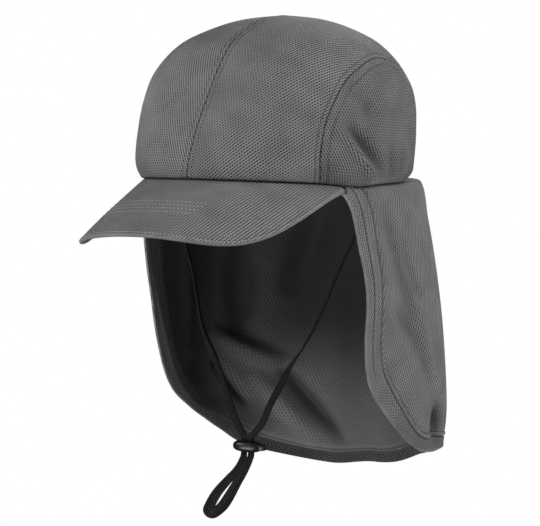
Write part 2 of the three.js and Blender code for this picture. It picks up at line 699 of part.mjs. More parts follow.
const cap = new THREE.Group();
for (const [name, side] of [["left", 1], ["right", -1]]) {
  cap.add(cloth(`crown_${name}_panel`, crownPanel(side)));
  cap.add(cloth(`side_${name}_panel`, sidePanel(side)));
  cap.add(cloth(`cape_${name}_band`, capeBand(side)));
}
cap.add(cloth("peak", peak()));
cap.add(cloth("neck_cape", neckCape()));
cap.add(piece("chin_cord", chinCord(), CORD_BLACK, 0.8));

const lock = new THREE.Group();
lock.add(piece("cord_lock_body", lockBody(), LOCK_BLACK, 0.35));
lock.add(piece("cord_lock_plunger", lockPlunger(), LOCK_BLACK, 0.35));
lock.rotation.set(0, LOCK_TILT * DEGREE, LOCK_TURN * DEGREE, "ZYX");
lock.position.set(...LOCK_PLACE);
cap.add(lock);

export default cap;
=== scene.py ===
# %% [markdown]
# # A cooling cap in eyelet mesh
# The cap is a soft grey crown with a curved peak, a cape that hangs round the ears and the nape, and a
# thin black chin cord with a sprung lock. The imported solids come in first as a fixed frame. Each one is
# then replaced by a finer piece that lies in the same place, so that what moves there moves here too.

import bmesh
import bpy
import numpy as np
from mathutils import Matrix, Vector, kdtree


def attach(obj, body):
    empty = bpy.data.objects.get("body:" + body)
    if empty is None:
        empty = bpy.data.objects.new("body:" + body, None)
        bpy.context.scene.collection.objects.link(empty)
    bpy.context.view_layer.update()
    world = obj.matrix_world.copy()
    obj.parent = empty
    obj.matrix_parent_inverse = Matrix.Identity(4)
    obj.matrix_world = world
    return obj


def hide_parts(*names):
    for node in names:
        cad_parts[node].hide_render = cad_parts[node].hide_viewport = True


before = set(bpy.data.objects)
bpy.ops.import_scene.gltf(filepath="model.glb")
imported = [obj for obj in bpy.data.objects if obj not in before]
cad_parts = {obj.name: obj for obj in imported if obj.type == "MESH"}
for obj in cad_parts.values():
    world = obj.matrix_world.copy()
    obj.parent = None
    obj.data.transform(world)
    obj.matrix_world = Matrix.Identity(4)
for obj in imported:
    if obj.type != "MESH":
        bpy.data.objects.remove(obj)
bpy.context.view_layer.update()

MM = 0.001
print("packed nodes:", sorted(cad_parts))

# %% [markdown]
# ## Camera, backdrop and light
# The cap was photographed almost level, from a little to its left, with a long lens. The camera is set
# first, because everything after it is judged through it. The lens is the one that gives the photograph's
# scale from that distance.

# %% Camera
CAMERA_AZIMUTH = 33.0  # degrees round from the front, towards the wearer's left
CAMERA_ELEVATION = 2.5
CAMERA_DISTANCE = 1.7
CAMERA_LENS = 165.5  # millimetres, on a 36 mm sensor
AIM_RIGHT, AIM_UP = -0.0034, -0.0555  # where the picture's middle lies from the head opening's

azimuth, elevation = np.radians([CAMERA_AZIMUTH, CAMERA_ELEVATION])
ground = np.cos(elevation)
to_camera = Vector((np.sin(azimuth) * ground, -np.cos(azimuth) * ground, np.sin(elevation)))
to_right = Vector((np.cos(azimuth), np.sin(azimuth), 0.0))
to_top = to_camera.cross(to_right)


def link(thing):
    bpy.context.scene.collection.objects.link(thing)
    return thing


def aimed(thing, place, target):
    """Puts a camera or lamp at a place, looking at a target."""
    thing.location = place
    thing.rotation_euler = (Vector(target) - Vector(place)).to_track_quat("-Z", "Y").to_euler()
    return thing


camera = link(bpy.data.objects.new("camera", bpy.data.cameras.new("camera")))
camera.data.lens = CAMERA_LENS
camera.data.clip_end = 60.0
aimed(camera, to_camera * CAMERA_DISTANCE, to_right * AIM_RIGHT + to_top * AIM_UP)
bpy.context.scene.camera = camera
print("camera at", [round(value, 3) for value in camera.location])

# %% [markdown]
# The studio is plain: a pale floor with a pale wall all round it. Both give off their own white and are
# left out of the light that falls on the cap, so the lamps and a faint room light alone light it; the
# cloth's colour also carries painted shade. The lamps are large, because the photograph has soft shadows and
# no hard highlight.

# %% Backdrop and lamps
FLOOR_LEVEL = -0.42
WALL_RADIUS = 12.0
WALL_SIDES = 48
BACKDROP_WHITE = 1.0


def glowing(name, strength):
    material = bpy.data.materials.new(name)
    material.use_nodes = True
    nodes = material.node_tree.nodes
    nodes.clear()
    shine = nodes.new("ShaderNodeEmission")
    shine.inputs["Strength"].default_value = strength
    out = nodes.new("ShaderNodeOutputMaterial")
    material.node_tree.links.new(shine.outputs[0], out.inputs["Surface"])
    return material


def backdrop(name, points, faces):
    mesh = bpy.data.meshes.new(name)
    mesh.from_pydata(points, [], faces)
    mesh.materials.append(glowing(name, BACKDROP_WHITE))
    thing = link(bpy.data.objects.new(name, mesh))
    for kind in ("diffuse", "glossy", "transmission", "volume_scatter", "shadow"):
        setattr(thing, "visible_" + kind, False)
    return thing


turns = np.linspace(0, 2 * np.pi, WALL_SIDES, endpoint=False)
ring = [(WALL_RADIUS * np.cos(turn), WALL_RADIUS * np.sin(turn)) for turn in turns]
places = list(range(WALL_SIDES))
upper = [place + WALL_SIDES for place in places]
sides = [[i, (i + 1) % WALL_SIDES, (i + 1) % WALL_SIDES + WALL_SIDES, i + WALL_SIDES] for i in places]
backdrop("floor", [(x, y, FLOOR_LEVEL) for x, y in ring], [places])
backdrop("wall", [(x, y, z) for z in (FLOOR_LEVEL, WALL_RADIUS) for x, y in ring], sides + [upper])

# name, place as (right, up, towards the camera) in metres, width, watts
LAMPS = [
    ("key", (-1.5, 1.2, 1.3), 1.0, 26.0),
    ("fill", (1.7, 0.5, 1.2), 1.3, 4.0),
    ("low", (-0.7, -1.0, 1.6), 1.0, 20.0),
    ("top", (0.2, 2.1, 0.0), 1.5, 4.0),
    ("rim", (1.8, 0.6, 0.0), 0.8, 24.0),
]
for name, (right, up, near), width, watts in LAMPS:
    lamp = bpy.data.lights.new(name, "AREA")
    lamp.shape = "DISK"
    lamp.size = width
    lamp.energy = watts
    place = to_right * right + to_top * up + to_camera * near
    aimed(link(bpy.data.objects.new(name, lamp)), place, (0, 0, 0))

ROOM_LIGHT = 0.1
world = bpy.data.worlds.new("room")
world.use_nodes = True
world.node_tree.nodes["Background"].inputs["Color"].default_value = (1.0, 1.0, 1.0, 1.0)
world.node_tree.nodes["Background"].inputs["Strength"].default_value = ROOM_LIGHT
bpy.context.scene.world = world
bpy.context.scene.view_settings.view_transform = "Standard"
print(len(LAMPS), "lamps")

# %% [markdown]
# ## Sizes
# The cap is drawn the way a maker drafts it: one named size for each thing that could be measured, and
# short tables of sections. The crown and the cape are both surfaces of two numbers, the angle round from
# the front and the run, which is the share of the way along the cloth. A smooth curve goes through each
# column of a table.

# %% Named sizes
HEAD_LENGTH = 207 * MM
HEAD_WIDTH = 163 * MM
CLOTH = 1.5 * MM
SEAM_GAP = 0.04 * MM
HALF_WIDTH = HEAD_WIDTH / 2 + CLOTH
HALF_LENGTH = HEAD_LENGTH / 2 + CLOTH

CROWN_HEIGHT = 114 * MM
CROWN_ARC = 1.49
CROWN_REACH = CROWN_HEIGHT * CROWN_ARC  # along the cloth from the lower edge to the top
FRONT_RISE = 6 * MM
RISE_ANGLE = 100.0
FOOT_DIP = 2 * MM
DIP_ANGLE, DIP_SPREAD = 72.0, 12.0
SIDE_SWELL = 1.5 * MM

CAPE_DROP = 212 * MM
CAPE_BAND = 15.5 * MM
HEM_BAND = 7.5 * MM
BAND_FULL, BAND_TAPERED = 0.36, 0.66
BAND_FLARE = 1.3  # how much wider the strip is at its top
ROLL_UP, ROLL_OUT = 4.5 * MM, 4 * MM
ROLL_ANGLES = (88.0, 118.0)
ROLL_RUN = 0.055
ROLL_SPREADS = (0.022, 0.06)
CAPE_CURL = 13 * MM
CURL_ANGLE = 30.0
CURL_START, CURL_FULL, CURL_FADE, CURL_END = 0.3, 0.72, 0.88, 0.98
HEM_LEVEL_ANGLES = (162.0, 180.0)
TOP_ANGLES = (63.5, 66.0)
OUTLINE_CORNER = 0.45
TOP_CROWDING = 1.6
CROWN_FADE, CAPE_FADE = 3, 6  # powers with which the front's rise dies away, up the crown and down the cape
FOOT_QUIET, TOP_QUIET, CAPE_QUIET = (0, 0.04), (0, 0.3), (0.06, 0.16)  # runs in which the folds begin
RUN_STEP = 1e-3  # for slopes
TINY = 1e-6
print("cloth from the crown's edge to its top:", round(CROWN_REACH / MM), "mm")

# %% Tables of sections


def table(columns, rows):
    """A table as one array for each named column."""
    return {name: np.array([row[i] for row in rows], float) for i, name in enumerate(columns.split())}


CROWN_ROWS = table(
    "run height width length lean square",
    [
        (0.0, 0.0, 1.0, 1.0, 0.0, 2.0),
        (0.043, 0.06, 1.05, 0.996, 0.0, 2.05),
        (0.09, 0.13, 1.07, 0.975, -0.002, 2.1),
        (0.204, 0.3, 1.055, 0.924, 0.024, 2.3),
        (0.331, 0.482, 1.055, 0.832, 0.045, 2.4),
        (0.458, 0.658, 1.005, 0.72, 0.055, 2.4),
        (0.6, 0.82, 0.83, 0.57, 0.06, 2.3),
        (0.722, 0.912, 0.61, 0.4, 0.075, 2.15),
        (0.85, 0.972, 0.345, 0.225, 0.09, 2.05),
        (1.0, 1.0, 0.0, 0.0, 0.105, 2.0),
    ],
)
ARCH_ROWS = table(
    "along angle run",
    [
        (0.0, 51.5, 0.0),
        (0.12, 51, 0.15),
        (0.24, 54, 0.29),
        (0.36, 65, 0.44),
        (0.5, 90, 0.527),
        (0.64, 119, 0.455),
        (0.76, 140, 0.32),
        (0.88, 151, 0.16),
        (1.0, 154, 0.0),
    ],
)
ARCH_CORNERS = (0.3, 0.7)
CAPE_ROWS = table(
    "run drop width length lean square shift",
    [
        (0.0, 0.004, 0.985, 0.985, 0.0, 2.0, 0.0),
        (0.03, 0.0065, 1.022, 1.018, 0.003, 2.0, 0.0),
        (0.06, 0.024, 1.045, 1.035, 0.015, 2.2, -0.003),
        (0.14, 0.09, 1.068, 1.06, 0.04, 2.5, 0.004),
        (0.42, 0.38, 1.11, 1.13, 0.085, 2.6, 0.028),
        (0.71, 0.68, 1.165, 1.18, 0.115, 2.7, -0.008),
        (1.0, 1.0, 1.17, 1.22, 0.125, 2.7, 0.005),
    ],
)
# where the worn hem hangs lower than the cut one, in millimetres, with the wearer's left as side 1
HEM_SWAYS = table(
    "side angle spread drop",
    [
        (1, 110, 14, 4.5),
        (1, 147, 20, -10.5),
        (1, 168, 10, -2),
        (-1, 80, 12, 4),
        (-1, 135, 30, 3),
        (-1, 165, 20, 3.5),
    ],
)
OUTLINE_ROWS = table(
    "along angle run",
    [
        (0.0, 60, 0.06),
        (0.06, 63.8, 0.19),
        (0.18, 67.5, 0.37),
        (0.29, 70, 0.54),
        (0.38, 77, 0.675),
        (0.49, 93, 0.785),
        (0.57, 107, 0.845),
        (0.65, 122, 0.9),
        (0.74, 137, 0.945),
        (0.83, 151, 0.975),
        (0.915, 166, 0.994),
        (1.0, 180, 1.0),
    ],
)

# %% [markdown]
# Cloth is never smooth. Each fold is a soft ridge or valley along a short line on the surface, and the
# tables say where it starts and ends, how wide it is and how deep. Both are shares of the head's width.

# %% Folds
FOLD_ENDS = 0.45  # a fold has this much of its depth at its two ends
CROWN_FOLDS = table(
    "angle run angle2 run2 width depth",
    [
        (64, 0.22, 84, 0.08, 0.042, -0.03),
        (57, 0.22, 82, 0.02, 0.032, 0.018),
        (69, 0.34, 76, 0.28, 0.06, -0.018),
        (92, 0.14, 94, 0.03, 0.035, -0.012),
        (103, 0.15, 105, 0.03, 0.035, -0.009),
        (-27, 0.27, -11, 0.38, 0.05, -0.01),
        (-30, 0.17, -20, 0.08, 0.07, 0.01),
        (41, 0.27, 47, 0.24, 0.06, -0.006),
        (-75, 0.2, -95, 0.08, 0.06, -0.016),
        (172, 0.12, 168, 0.03, 0.06, -0.01),
    ],
)
CAPE_FOLDS = table(
    "angle run angle2 run2 width depth",
    [
        (85, 0.13, 104, 0.55, 0.075, -0.017),
        (98, 0.09, 109, 0.15, 0.045, 0.017),
        (113, 0.19, 120, 0.29, 0.045, 0.018),
        (121, 0.34, 124, 0.75, 0.06, 0.014),
        (98, 0.25, 107, 0.4, 0.045, -0.014),
        (90, 0.24, 94, 0.248, 0.02, -0.008),
        (104, 0.42, 120, 0.7, 0.045, 0.012),
        (88, 0.43, 103, 0.54, 0.05, -0.012),
        (107, 0.58, 117, 0.7, 0.045, -0.014),
        (123, 0.76, 129, 0.87, 0.055, -0.05),
        (145, 0.15, 150, 0.8, 0.09, -0.03),
        (171, 0.3, 170, 0.95, 0.07, 0.02),
        (187, 0.4, 190, 0.93, 0.06, -0.02),
        (243, 0.58, 213, 0.69, 0.05, -0.055),
        (213, 0.71, 195, 0.93, 0.042, 0.06),
        (222, 0.74, 204, 0.93, 0.05, -0.03),
        (243, 0.67, 229, 0.8, 0.035, 0.035),
        (196, 0.16, 209, 0.42, 0.075, 0.04),
        (231, 0.3, 231, 0.54, 0.09, 0.035),
        (263, 0.2, 266, 0.6, 0.06, -0.022),
    ],
)
print(len(CROWN_FOLDS["run"]), "folds in the crown and", len(CAPE_FOLDS["run"]), "in the cape")

# %% Curves through a table's column


def column(rows, key, name, at):
    """A smooth curve through one column of a table, at some values of its key column."""
    keys, values = rows[key], rows[name]
    slopes = np.empty_like(values)
    slopes[1:-1] = (values[2:] - values[:-2]) / (keys[2:] - keys[:-2])
    slopes[0] = (values[1] - values[0]) / (keys[1] - keys[0])
    slopes[-1] = (values[-1] - values[-2]) / (keys[-1] - keys[-2])
    i = np.clip(np.searchsorted(keys, at, side="right") - 1, 0, len(keys) - 2)
    span = keys[i + 1] - keys[i]
    t = (at - keys[i]) / span
    u = 1 - t
    ends = (1 + 2 * t) * u * u * values[i] + t * t * (3 - 2 * t) * values[i + 1]
    return ends + t * u * span * (u * slopes[i] - t * slopes[i + 1])


def mix(a, b, t):
    return a + (b - a) * t


def ease(low, high, at):
    t = np.clip((at - low) / (high - low), 0, 1)
    return t * t * (3 - 2 * t)


def wrapped(angle):
    return (np.asarray(angle) + 180.0) % 360.0 - 180.0


def points_of(x, y, z):
    return np.stack(np.broadcast_arrays(x, y, z), axis=-1)


def unit(vectors):
    return vectors / np.maximum(np.linalg.norm(vectors, axis=-1, keepdims=True), TINY * TINY)


# %% Surfaces of the crown and the cape


def on_section(rows, angle, run):
    """Across and along places on an oval section, in metres."""
    across = np.maximum(column(rows, "run", "width", run), TINY) * HALF_WIDTH
    along = np.maximum(column(rows, "run", "length", run), TINY) * HALF_LENGTH
    power = column(rows, "run", "square", run)
    sine, cosine = np.sin(np.radians(angle)), np.cos(np.radians(angle))
    radius = ((abs(sine) / across) ** power + (abs(cosine) / along) ** power) ** (-1 / power)
    return radius * sine, column(rows, "run", "lean", run) * HALF_LENGTH - radius * cosine


def fold_lift(folds, angle, run, reach):
    """How far the folds lift the cloth. reach is the cloth's length for a run of 1."""
    degree = (HALF_WIDTH + HALF_LENGTH) * 0.5 * np.radians(1)
    lift = 0.0
    for i in range(len(folds["run"])):
        start, end = folds["angle"][i], folds["angle2"][i]
        x = wrapped(angle - start) * degree
        y = (run - folds["run"][i]) * reach
        dx = wrapped(end - start) * degree
        dy = (folds["run2"][i] - folds["run"][i]) * reach
        t = np.clip((x * dx + y * dy) / (dx * dx + dy * dy), 0, 1)
        off = np.hypot(x - dx * t, y - dy * t) / (folds["width"][i] * HEAD_WIDTH)
        taper = FOLD_ENDS + (1 - FOLD_ENDS) * 4 * t * (1 - t)
        lift = lift + folds["depth"][i] * HEAD_WIDTH * taper * np.exp(-2 * off * off)
    return lift


def normal_of(surface, a, b, steps, facing):
    """The unit normal of a surface of two numbers. facing turns it outwards."""
    across = surface(a + steps[0], b) - surface(a - steps[0], b)
    along = surface(a, b + steps[1]) - surface(a, b - steps[1])
    return unit(np.cross(across, along) * facing)


def lifted(surface, angle, run, out, facing):
    level = np.clip(run, RUN_STEP, 1 - RUN_STEP)
    normal = normal_of(surface, angle, level, (1.0, RUN_STEP), facing)
    return surface(angle, run) + normal * np.asarray(out)[..., None]


def rise(angle):
    """How much higher the crown's foot is at the front, less its dip over each ear."""
    turn = abs(wrapped(angle))
    dip = FOOT_DIP * np.exp(-(((turn - DIP_ANGLE) / DIP_SPREAD) ** 2))
    return FRONT_RISE * 0.5 * (1 + np.cos(np.pi * np.minimum(turn / RISE_ANGLE, 1))) - dip


def bare_crown(angle, run):
    x, y = on_section(CROWN_ROWS, angle, run)
    z = CROWN_HEIGHT * column(CROWN_ROWS, "run", "height", run) + rise(angle) * (1 - run) ** CROWN_FADE
    return points_of(x, y, z)


def crown_folds(angle, run):
    return fold_lift(CROWN_FOLDS, angle, run, CROWN_REACH) * ease(*FOOT_QUIET, run)


def crown(angle, run):
    return lifted(bare_crown, angle, run, crown_folds(angle, run) * ease(*TOP_QUIET, 1 - run), 1)


def on_dome(x, y):
    """The crown laid flat: its top is the middle, and its lower edge a circle of radius 1."""
    return crown(np.degrees(np.arctan2(x, y)), np.maximum(1 - np.hypot(x, y), 0))


def flat(angle, run):
    """The place in that flat circle of an angle and a run."""
    return np.array([(1 - run) * np.sin(np.radians(angle)), (1 - run) * np.cos(np.radians(angle))])


def outline_angle(run):
    return np.interp(run, OUTLINE_ROWS["run"], OUTLINE_ROWS["angle"])


def bare_cape(angle, run):
    x, y = on_section(CAPE_ROWS, angle, run)
    z = rise(angle) * (1 - run) ** CAPE_FADE - CAPE_DROP * column(CAPE_ROWS, "run", "drop", run)
    sine, cosine = np.sin(np.radians(angle)), np.cos(np.radians(angle))
    off = (run - ROLL_RUN) / np.where(run < ROLL_RUN, *ROLL_SPREADS)
    roll = ease(*ROLL_ANGLES, abs(wrapped(angle))) * np.exp(-off * off)
    past = np.maximum(abs(wrapped(angle)) - outline_angle(run), 0) / CURL_ANGLE
    strength = ease(CURL_START, CURL_FULL, run) * (1 - ease(CURL_FADE, CURL_END, run))
    curl = CAPE_CURL * strength * np.exp(-past * past)
    x = x + column(CAPE_ROWS, "run", "shift", run) * HALF_WIDTH
    return points_of(x + sine * (ROLL_OUT * roll - curl), y - cosine * ROLL_OUT * roll, z + ROLL_UP * roll)


def cape_folds(angle, run):
    return fold_lift(CAPE_FOLDS, angle, run, CAPE_DROP) * ease(*CAPE_QUIET, run)


def cape(angle, run):
    return lifted(bare_cape, angle, run, cape_folds(angle, run), -1)


print("top of the crown:", on_dome(np.float64(TINY), np.float64(0)).round(4))

# %% [markdown]
# ## How the cloth is made
# Every piece of cloth is a sheet of four-sided faces with a wall's thickness. Cloth simulation could drape
# it, but the photograph shows certain folds in certain places, and shapes worked out in code put them there.
# It is built in four steps: a grid of points on the surface, small shapes added along its seams and hems by
# their distance from the seam line, a second grid one thickness inside it, and a rim that closes the two.
# The grid is closer where a seam needs it.

# %% Grids, distances and seam shapes
# how far apart the small waves beside a row of stitches are, in millimetres, where each starts and its height
PUCKER_WAVES = [(1.9, 0.0, 1.0), (3.1, 1.0, 1.0), (5.3, 2.0, 0.8)]


def stations(*stretches):
    """Shares from 0 to 1. Each stretch is the share that it ends at and how many steps it takes."""
    shares = [0.0]
    for end, steps in stretches:
        shares += list(np.linspace(shares[-1], end, steps + 1)[1:])
    return np.array(shares)


def patch(bottom, top, left, right, s, t):
    """Fills four edge curves, each a function of a share that gives a pair of numbers."""
    filled = mix(bottom(s), top(s), t) + mix(left(t), right(t), s)
    zero, one = np.zeros((1, 1)), np.ones((1, 1))
    low = mix(bottom(zero), bottom(one), s)
    high = mix(top(zero), top(one), s)
    return filled - mix(low, high, t)


def along_line(line):
    """How far along a line of points each of them lies."""
    return np.concatenate([[0], np.cumsum(np.linalg.norm(np.diff(line, axis=0), axis=1))])


def nearest(points, line):
    """Each point's distance from a line of points, and how far along the line it lies."""
    tree = kdtree.KDTree(len(line))
    for i, place in enumerate(line):
        tree.insert(place, i)
    tree.balance()
    found = [tree.find(point)[1:] for point in points.reshape(-1, 3)]
    index = np.array([i for i, _ in found])
    distance = np.array([gap for _, gap in found])
    return distance.reshape(points.shape[:-1]), along_line(line)[index].reshape(points.shape[:-1])


def rounding(distance, radius):
    """How far a rounded edge has dropped at a distance from it."""
    u = np.clip(1 - distance / radius, 0, 1)
    return radius * (1 - np.sqrt(1 - u * u))


def groove(distance, place, width, depth):
    return -depth * np.exp(-(((distance - place) / width) ** 2))


def line_shade(distance, place, line):
    """How strong a thin line is beside its place: how dark a line of painted shade along a seam, row or edge
    is, or how plain the cloth is there. line is its strength at its middle, and its width.
    """
    dark, width = line
    return dark * np.exp(-(((distance - place) / width) ** 2))


def welt(distance, start, end, height):
    """A raised tube of cloth between two distances."""
    u = np.clip((distance - start) / (end - start), 0, 1)
    return height * np.sqrt(4 * u * (1 - u))


def puckers(along, distance, reach, height):
    """The small waves that a row of stitches draws into the cloth beside it."""
    wave = sum(share * np.sin(along / (step * MM) + start) for step, start, share in PUCKER_WAVES)
    return height * wave * np.exp(-((distance / reach) ** 2))


# %% [markdown]
# The cloth also needs a map, so that its weave follows it. Each grid is unwrapped as a tailor lays a
# pattern flat, and scaled so that the map is in millimetres. Two more numbers are kept at every point: how
# much painted shade it gets, in its creases and seams and where little light reaches it, which darkens its
# colour as no lamp could between layers this thin, and how plain it is, which hides the eyelets where the
# cloth is folded over.

# %% Cloth laid flat
CLOTH_UV = "cloth"
# painted shade: how much each point's colour is darkened in creases and seams and where little light reaches
PAINTED_SHADE, PLAIN = "painted_shade", "plain"


def face_areas(grid):
    return np.linalg.norm(np.cross(np.diff(grid, axis=1)[:-1], np.diff(grid, axis=0)[:, :-1]), axis=-1)


def corners_of(mesh):
    """The number of the point at each corner of each face."""
    index = np.empty(len(mesh.loops), int)
    mesh.loops.foreach_get("vertex_index", index)
    return index


def write_map(mesh, uv):
    """Sets the cloth's map from a pair of millimetres for each point."""
    layer = mesh.uv_layers.new(name=CLOTH_UV)
    layer.data.foreach_set("uv", uv[corners_of(mesh)].reshape(-1))


def quads_of(rows, columns):
    index = np.arange(rows * columns).reshape(rows, columns)
    return np.stack([index[:-1, :-1], index[:-1, 1:], index[1:, 1:], index[1:, :-1]], axis=-1).reshape(-1, 4)


def laid_flat(grid, grain):
    """Millimetres across and along the cloth at each point, with the grain turned by some degrees."""
    rows, columns = grid.shape[:2]
    mesh = bpy.data.meshes.new("pattern")
    mesh.from_pydata(grid.reshape(-1, 3).tolist(), [], quads_of(rows, columns).tolist())
    mesh.uv_layers.new(name=CLOTH_UV)
    pattern = link(bpy.data.objects.new("pattern", mesh))
    bpy.context.view_layer.objects.active = pattern
    pattern.select_set(True)
    bpy.ops.object.mode_set(mode="EDIT")
    bpy.ops.mesh.select_all(action="SELECT")
    bpy.ops.uv.unwrap(method="CONFORMAL", margin=0.0)
    bpy.ops.object.mode_set(mode="OBJECT")
    corners = np.empty(len(mesh.loops) * 2)
    mesh.uv_layers[0].data.foreach_get("uv", corners)
    uv = np.empty((rows * columns, 2))
    uv[corners_of(mesh)] = corners.reshape(-1, 2)
    uv = uv.reshape(rows, columns, 2)
    bpy.data.objects.remove(pattern)
    across, along = np.diff(uv, axis=1)[:-1], np.diff(uv, axis=0)[:, :-1]
    turned = np.cross(across, along)
    if turned.sum() < 0:
        uv[..., 0] *= -1
        along[..., 0] *= -1
    uv *= np.sqrt(face_areas(grid).sum() / abs(turned).sum()) / MM
    lean = np.arctan2(along[..., 0].mean(), along[..., 1].mean()) + np.radians(grain)
    turn = np.array([[np.cos(lean), np.sin(lean)], [-np.sin(lean), np.cos(lean)]])
    return uv @ turn


# %% A wall of cloth


def finished(name, mesh, *finishes):
    """The mesh as a smooth piece of the scene. Without finishes it keeps the ones that it has."""
    mesh.name = name
    if finishes:
        mesh.materials.clear()
    for finish in finishes:
        mesh.materials.append(finish)
    mesh.polygons.foreach_set("use_smooth", np.ones(len(mesh.polygons), bool))
    mesh.update()
    print(name, len(mesh.polygons), "faces")
    return link(bpy.data.objects.new(name, mesh))


def wall(name, outer, inner, uv, finishes, shade=0.0, shade_in=0.0, plain=0.0):
    """A closed piece from two grids. finishes are the outer and inner materials, the two shades say how much
    painted shade each point gets on its outer and inner side, and plain where the cloth is folded over and
    shows no eyelets."""
    rows, columns = outer.shape[:2]
    far = rows * columns
    quads = quads_of(rows, columns)
    index = np.arange(far).reshape(rows, columns)
    border = np.concatenate([index[0, :-1], index[:-1, -1], index[-1, :0:-1], index[:0:-1, 0]])
    after = np.roll(border, -1)
    rim = np.stack([after, border, border + far, after + far], axis=-1)
    faces = np.concatenate([quads, quads[:, ::-1] + far, rim])
    points = np.concatenate([outer.reshape(-1, 3), inner.reshape(-1, 3)])
    a, b, d = (points[quads[:, i]] for i in (0, 1, 3))
    if (np.cross(b - a, d - a) * (a - points[quads[:, 0] + far])).sum() < 0:
        faces = faces[:, ::-1]
    mesh = bpy.data.meshes.new(name)
    mesh.from_pydata(points.tolist(), [], faces.tolist())
    write_map(mesh, np.tile(uv.reshape(-1, 2), (2, 1)))
    # the painted shade of both sides, and how plain each point is, are kept at the points
    for label, values in ((PAINTED_SHADE, (shade, shade_in)), (PLAIN, (plain, plain))):
        kept = np.stack([np.broadcast_to(value, (rows, columns)) for value in values]).clip(0, 1)
        mesh.attributes.new(label, "FLOAT", "POINT").data.foreach_set("value", kept.reshape(-1))
    piece = finished(name, mesh, *finishes)
    kinds = np.zeros(len(faces), int)
    kinds[len(quads) : 2 * len(quads)] = 1
    mesh.polygons.foreach_set("material_index", kinds)
    return piece


# %% [markdown]
# ## The eyelet knit
# The cloth is a knitted mesh: rows of small slanted eyelets, each row set half a step along from the one
# before. About forty thousand of them are too many to model, so they are drawn by the material, as
# darker hollows in the colour and as dents in the bump. The pattern follows the cloth's own map, which is
# in millimetres, so it runs round the folds as it does on real cloth.

# %% Small helpers for materials
SHEEN_ROUGHNESS = 0.4
SOFT_SHINE = 0.3


def new_material(name, roughness, sheen=0.0, shine=SOFT_SHINE):
    """A material, its tree, and its shader with the constant values set."""
    material = bpy.data.materials.new(name)
    material.use_nodes = True
    shader = material.node_tree.nodes["Principled BSDF"]
    shader.inputs["Roughness"].default_value = roughness
    shader.inputs["Sheen Weight"].default_value = sheen
    shader.inputs["Sheen Roughness"].default_value = SHEEN_ROUGHNESS
    shader.inputs["Specular IOR Level"].default_value = shine
    return material, material.node_tree, shader


def feed(tree, socket, value):
    """Gives a socket a constant or another node's output."""
    if isinstance(value, bpy.types.NodeSocket):
        tree.links.new(value, socket)
    else:
        socket.default_value = value


def add_node(tree, kind, **inputs):
    """A node of a material or of Geometry Nodes. In an input's name, _ stands for a space."""
    node = tree.nodes.new(kind)
    for name, value in inputs.items():
        feed(tree, node.inputs[name.replace("_", " ")], value)
    return node


def number(tree, operation, *values):
    """A Math node. Each value is a number or another node's output."""
    node = tree.nodes.new("ShaderNodeMath")
    node.operation = operation
    for socket, value in zip(node.inputs, values):
        feed(tree, socket, value)
    return node.outputs[0]


def noise(tree, vector, scale, detail=2.0):
    return add_node(tree, "ShaderNodeTexNoise", Scale=scale, Detail=detail, Vector=vector).outputs["Fac"]


def ramp(tree, value, low, high, start=0.0, end=1.0):
    """Smoothly from start to end as the value goes from low to high."""
    node = tree.nodes.new("ShaderNodeMapRange")
    node.interpolation_type = "SMOOTHSTEP"
    names = ("Value", "From Min", "From Max", "To Min", "To Max")
    for name, given in zip(names, (value, low, high, start, end)):
        feed(tree, node.inputs[name], given)
    return node.outputs["Result"]


def blend(tree, share, low, high):
    """Between two colours, each a tuple or another node's output."""
    node = tree.nodes.new("ShaderNodeMix")
    node.data_type = "RGBA"
    feed(tree, node.inputs["Factor"], share)
    inputs = [socket for socket in node.inputs if socket.type == "RGBA"]
    for socket, colour in zip(inputs, (low, high)):
        feed(tree, socket, (*colour, 1.0) if isinstance(colour, tuple) else colour)
    return [socket for socket in node.outputs if socket.type == "RGBA"][0]


def bump(tree, shader, height, depth, strength):
    node = add_node(tree, "ShaderNodeBump", Distance=depth, Strength=strength, Height=height)
    tree.links.new(node.outputs["Normal"], shader.inputs["Normal"])


def cloth_map(tree):
    """The cloth's map, and each of its two numbers."""
    source = tree.nodes.new("ShaderNodeUVMap")
    source.uv_map = CLOTH_UV
    split = add_node(tree, "ShaderNodeSeparateXYZ", Vector=source.outputs["UV"])
    return source.outputs["UV"], split.outputs["X"], split.outputs["Y"]


def kept_value(tree, name):
    """A number that is kept at the cloth's points."""
    node = tree.nodes.new("ShaderNodeAttribute")
    node.attribute_name = name
    return node.outputs["Fac"]


# %% Eyelet knit
EYELET_STEP = 2.1  # millimetres along a row
EYELET_ROW = 1.75  # from row to row
EYELET_HALF = (0.46, 0.74)  # half its width and height
EYELET_SLANT = 0.42
EYELET_EDGE = (0.6, 1.5)  # from its hollow to the level thread
WAVER, WAVER_SCALE = 1.6, 0.12  # how many millimetres the rows wander, and how closely
TONE_SCALE, TONES = 0.05, (0.45, 1.05)  # the slow change of colour over the cloth
FUZZ_SCALE, FUZZ_TONE, FUZZ_HEIGHT = 1.7, 0.5, 0.25
LOOPS, LOOP_HEIGHT = 9.0, 0.08  # how close the knit's loops are, and their height as a share of an eyelet's
KNIT_ROUGHNESS = 0.78
PAINTED_SHADE_DEPTH = 0.88  # how much of the colour the darkest painted shade takes away
PAINTED_SHADE_COLOUR = (0.004, 0.004, 0.004)
FUZZ_DETAIL, TONE_DETAIL = 3.0, 4.0


def from_middle(tree, steps, size):
    """How many millimetres a place is from the middle of its step, when it is given in steps."""
    return number(tree, "MULTIPLY", number(tree, "SUBTRACT", number(tree, "FRACT", steps), 0.5), size)


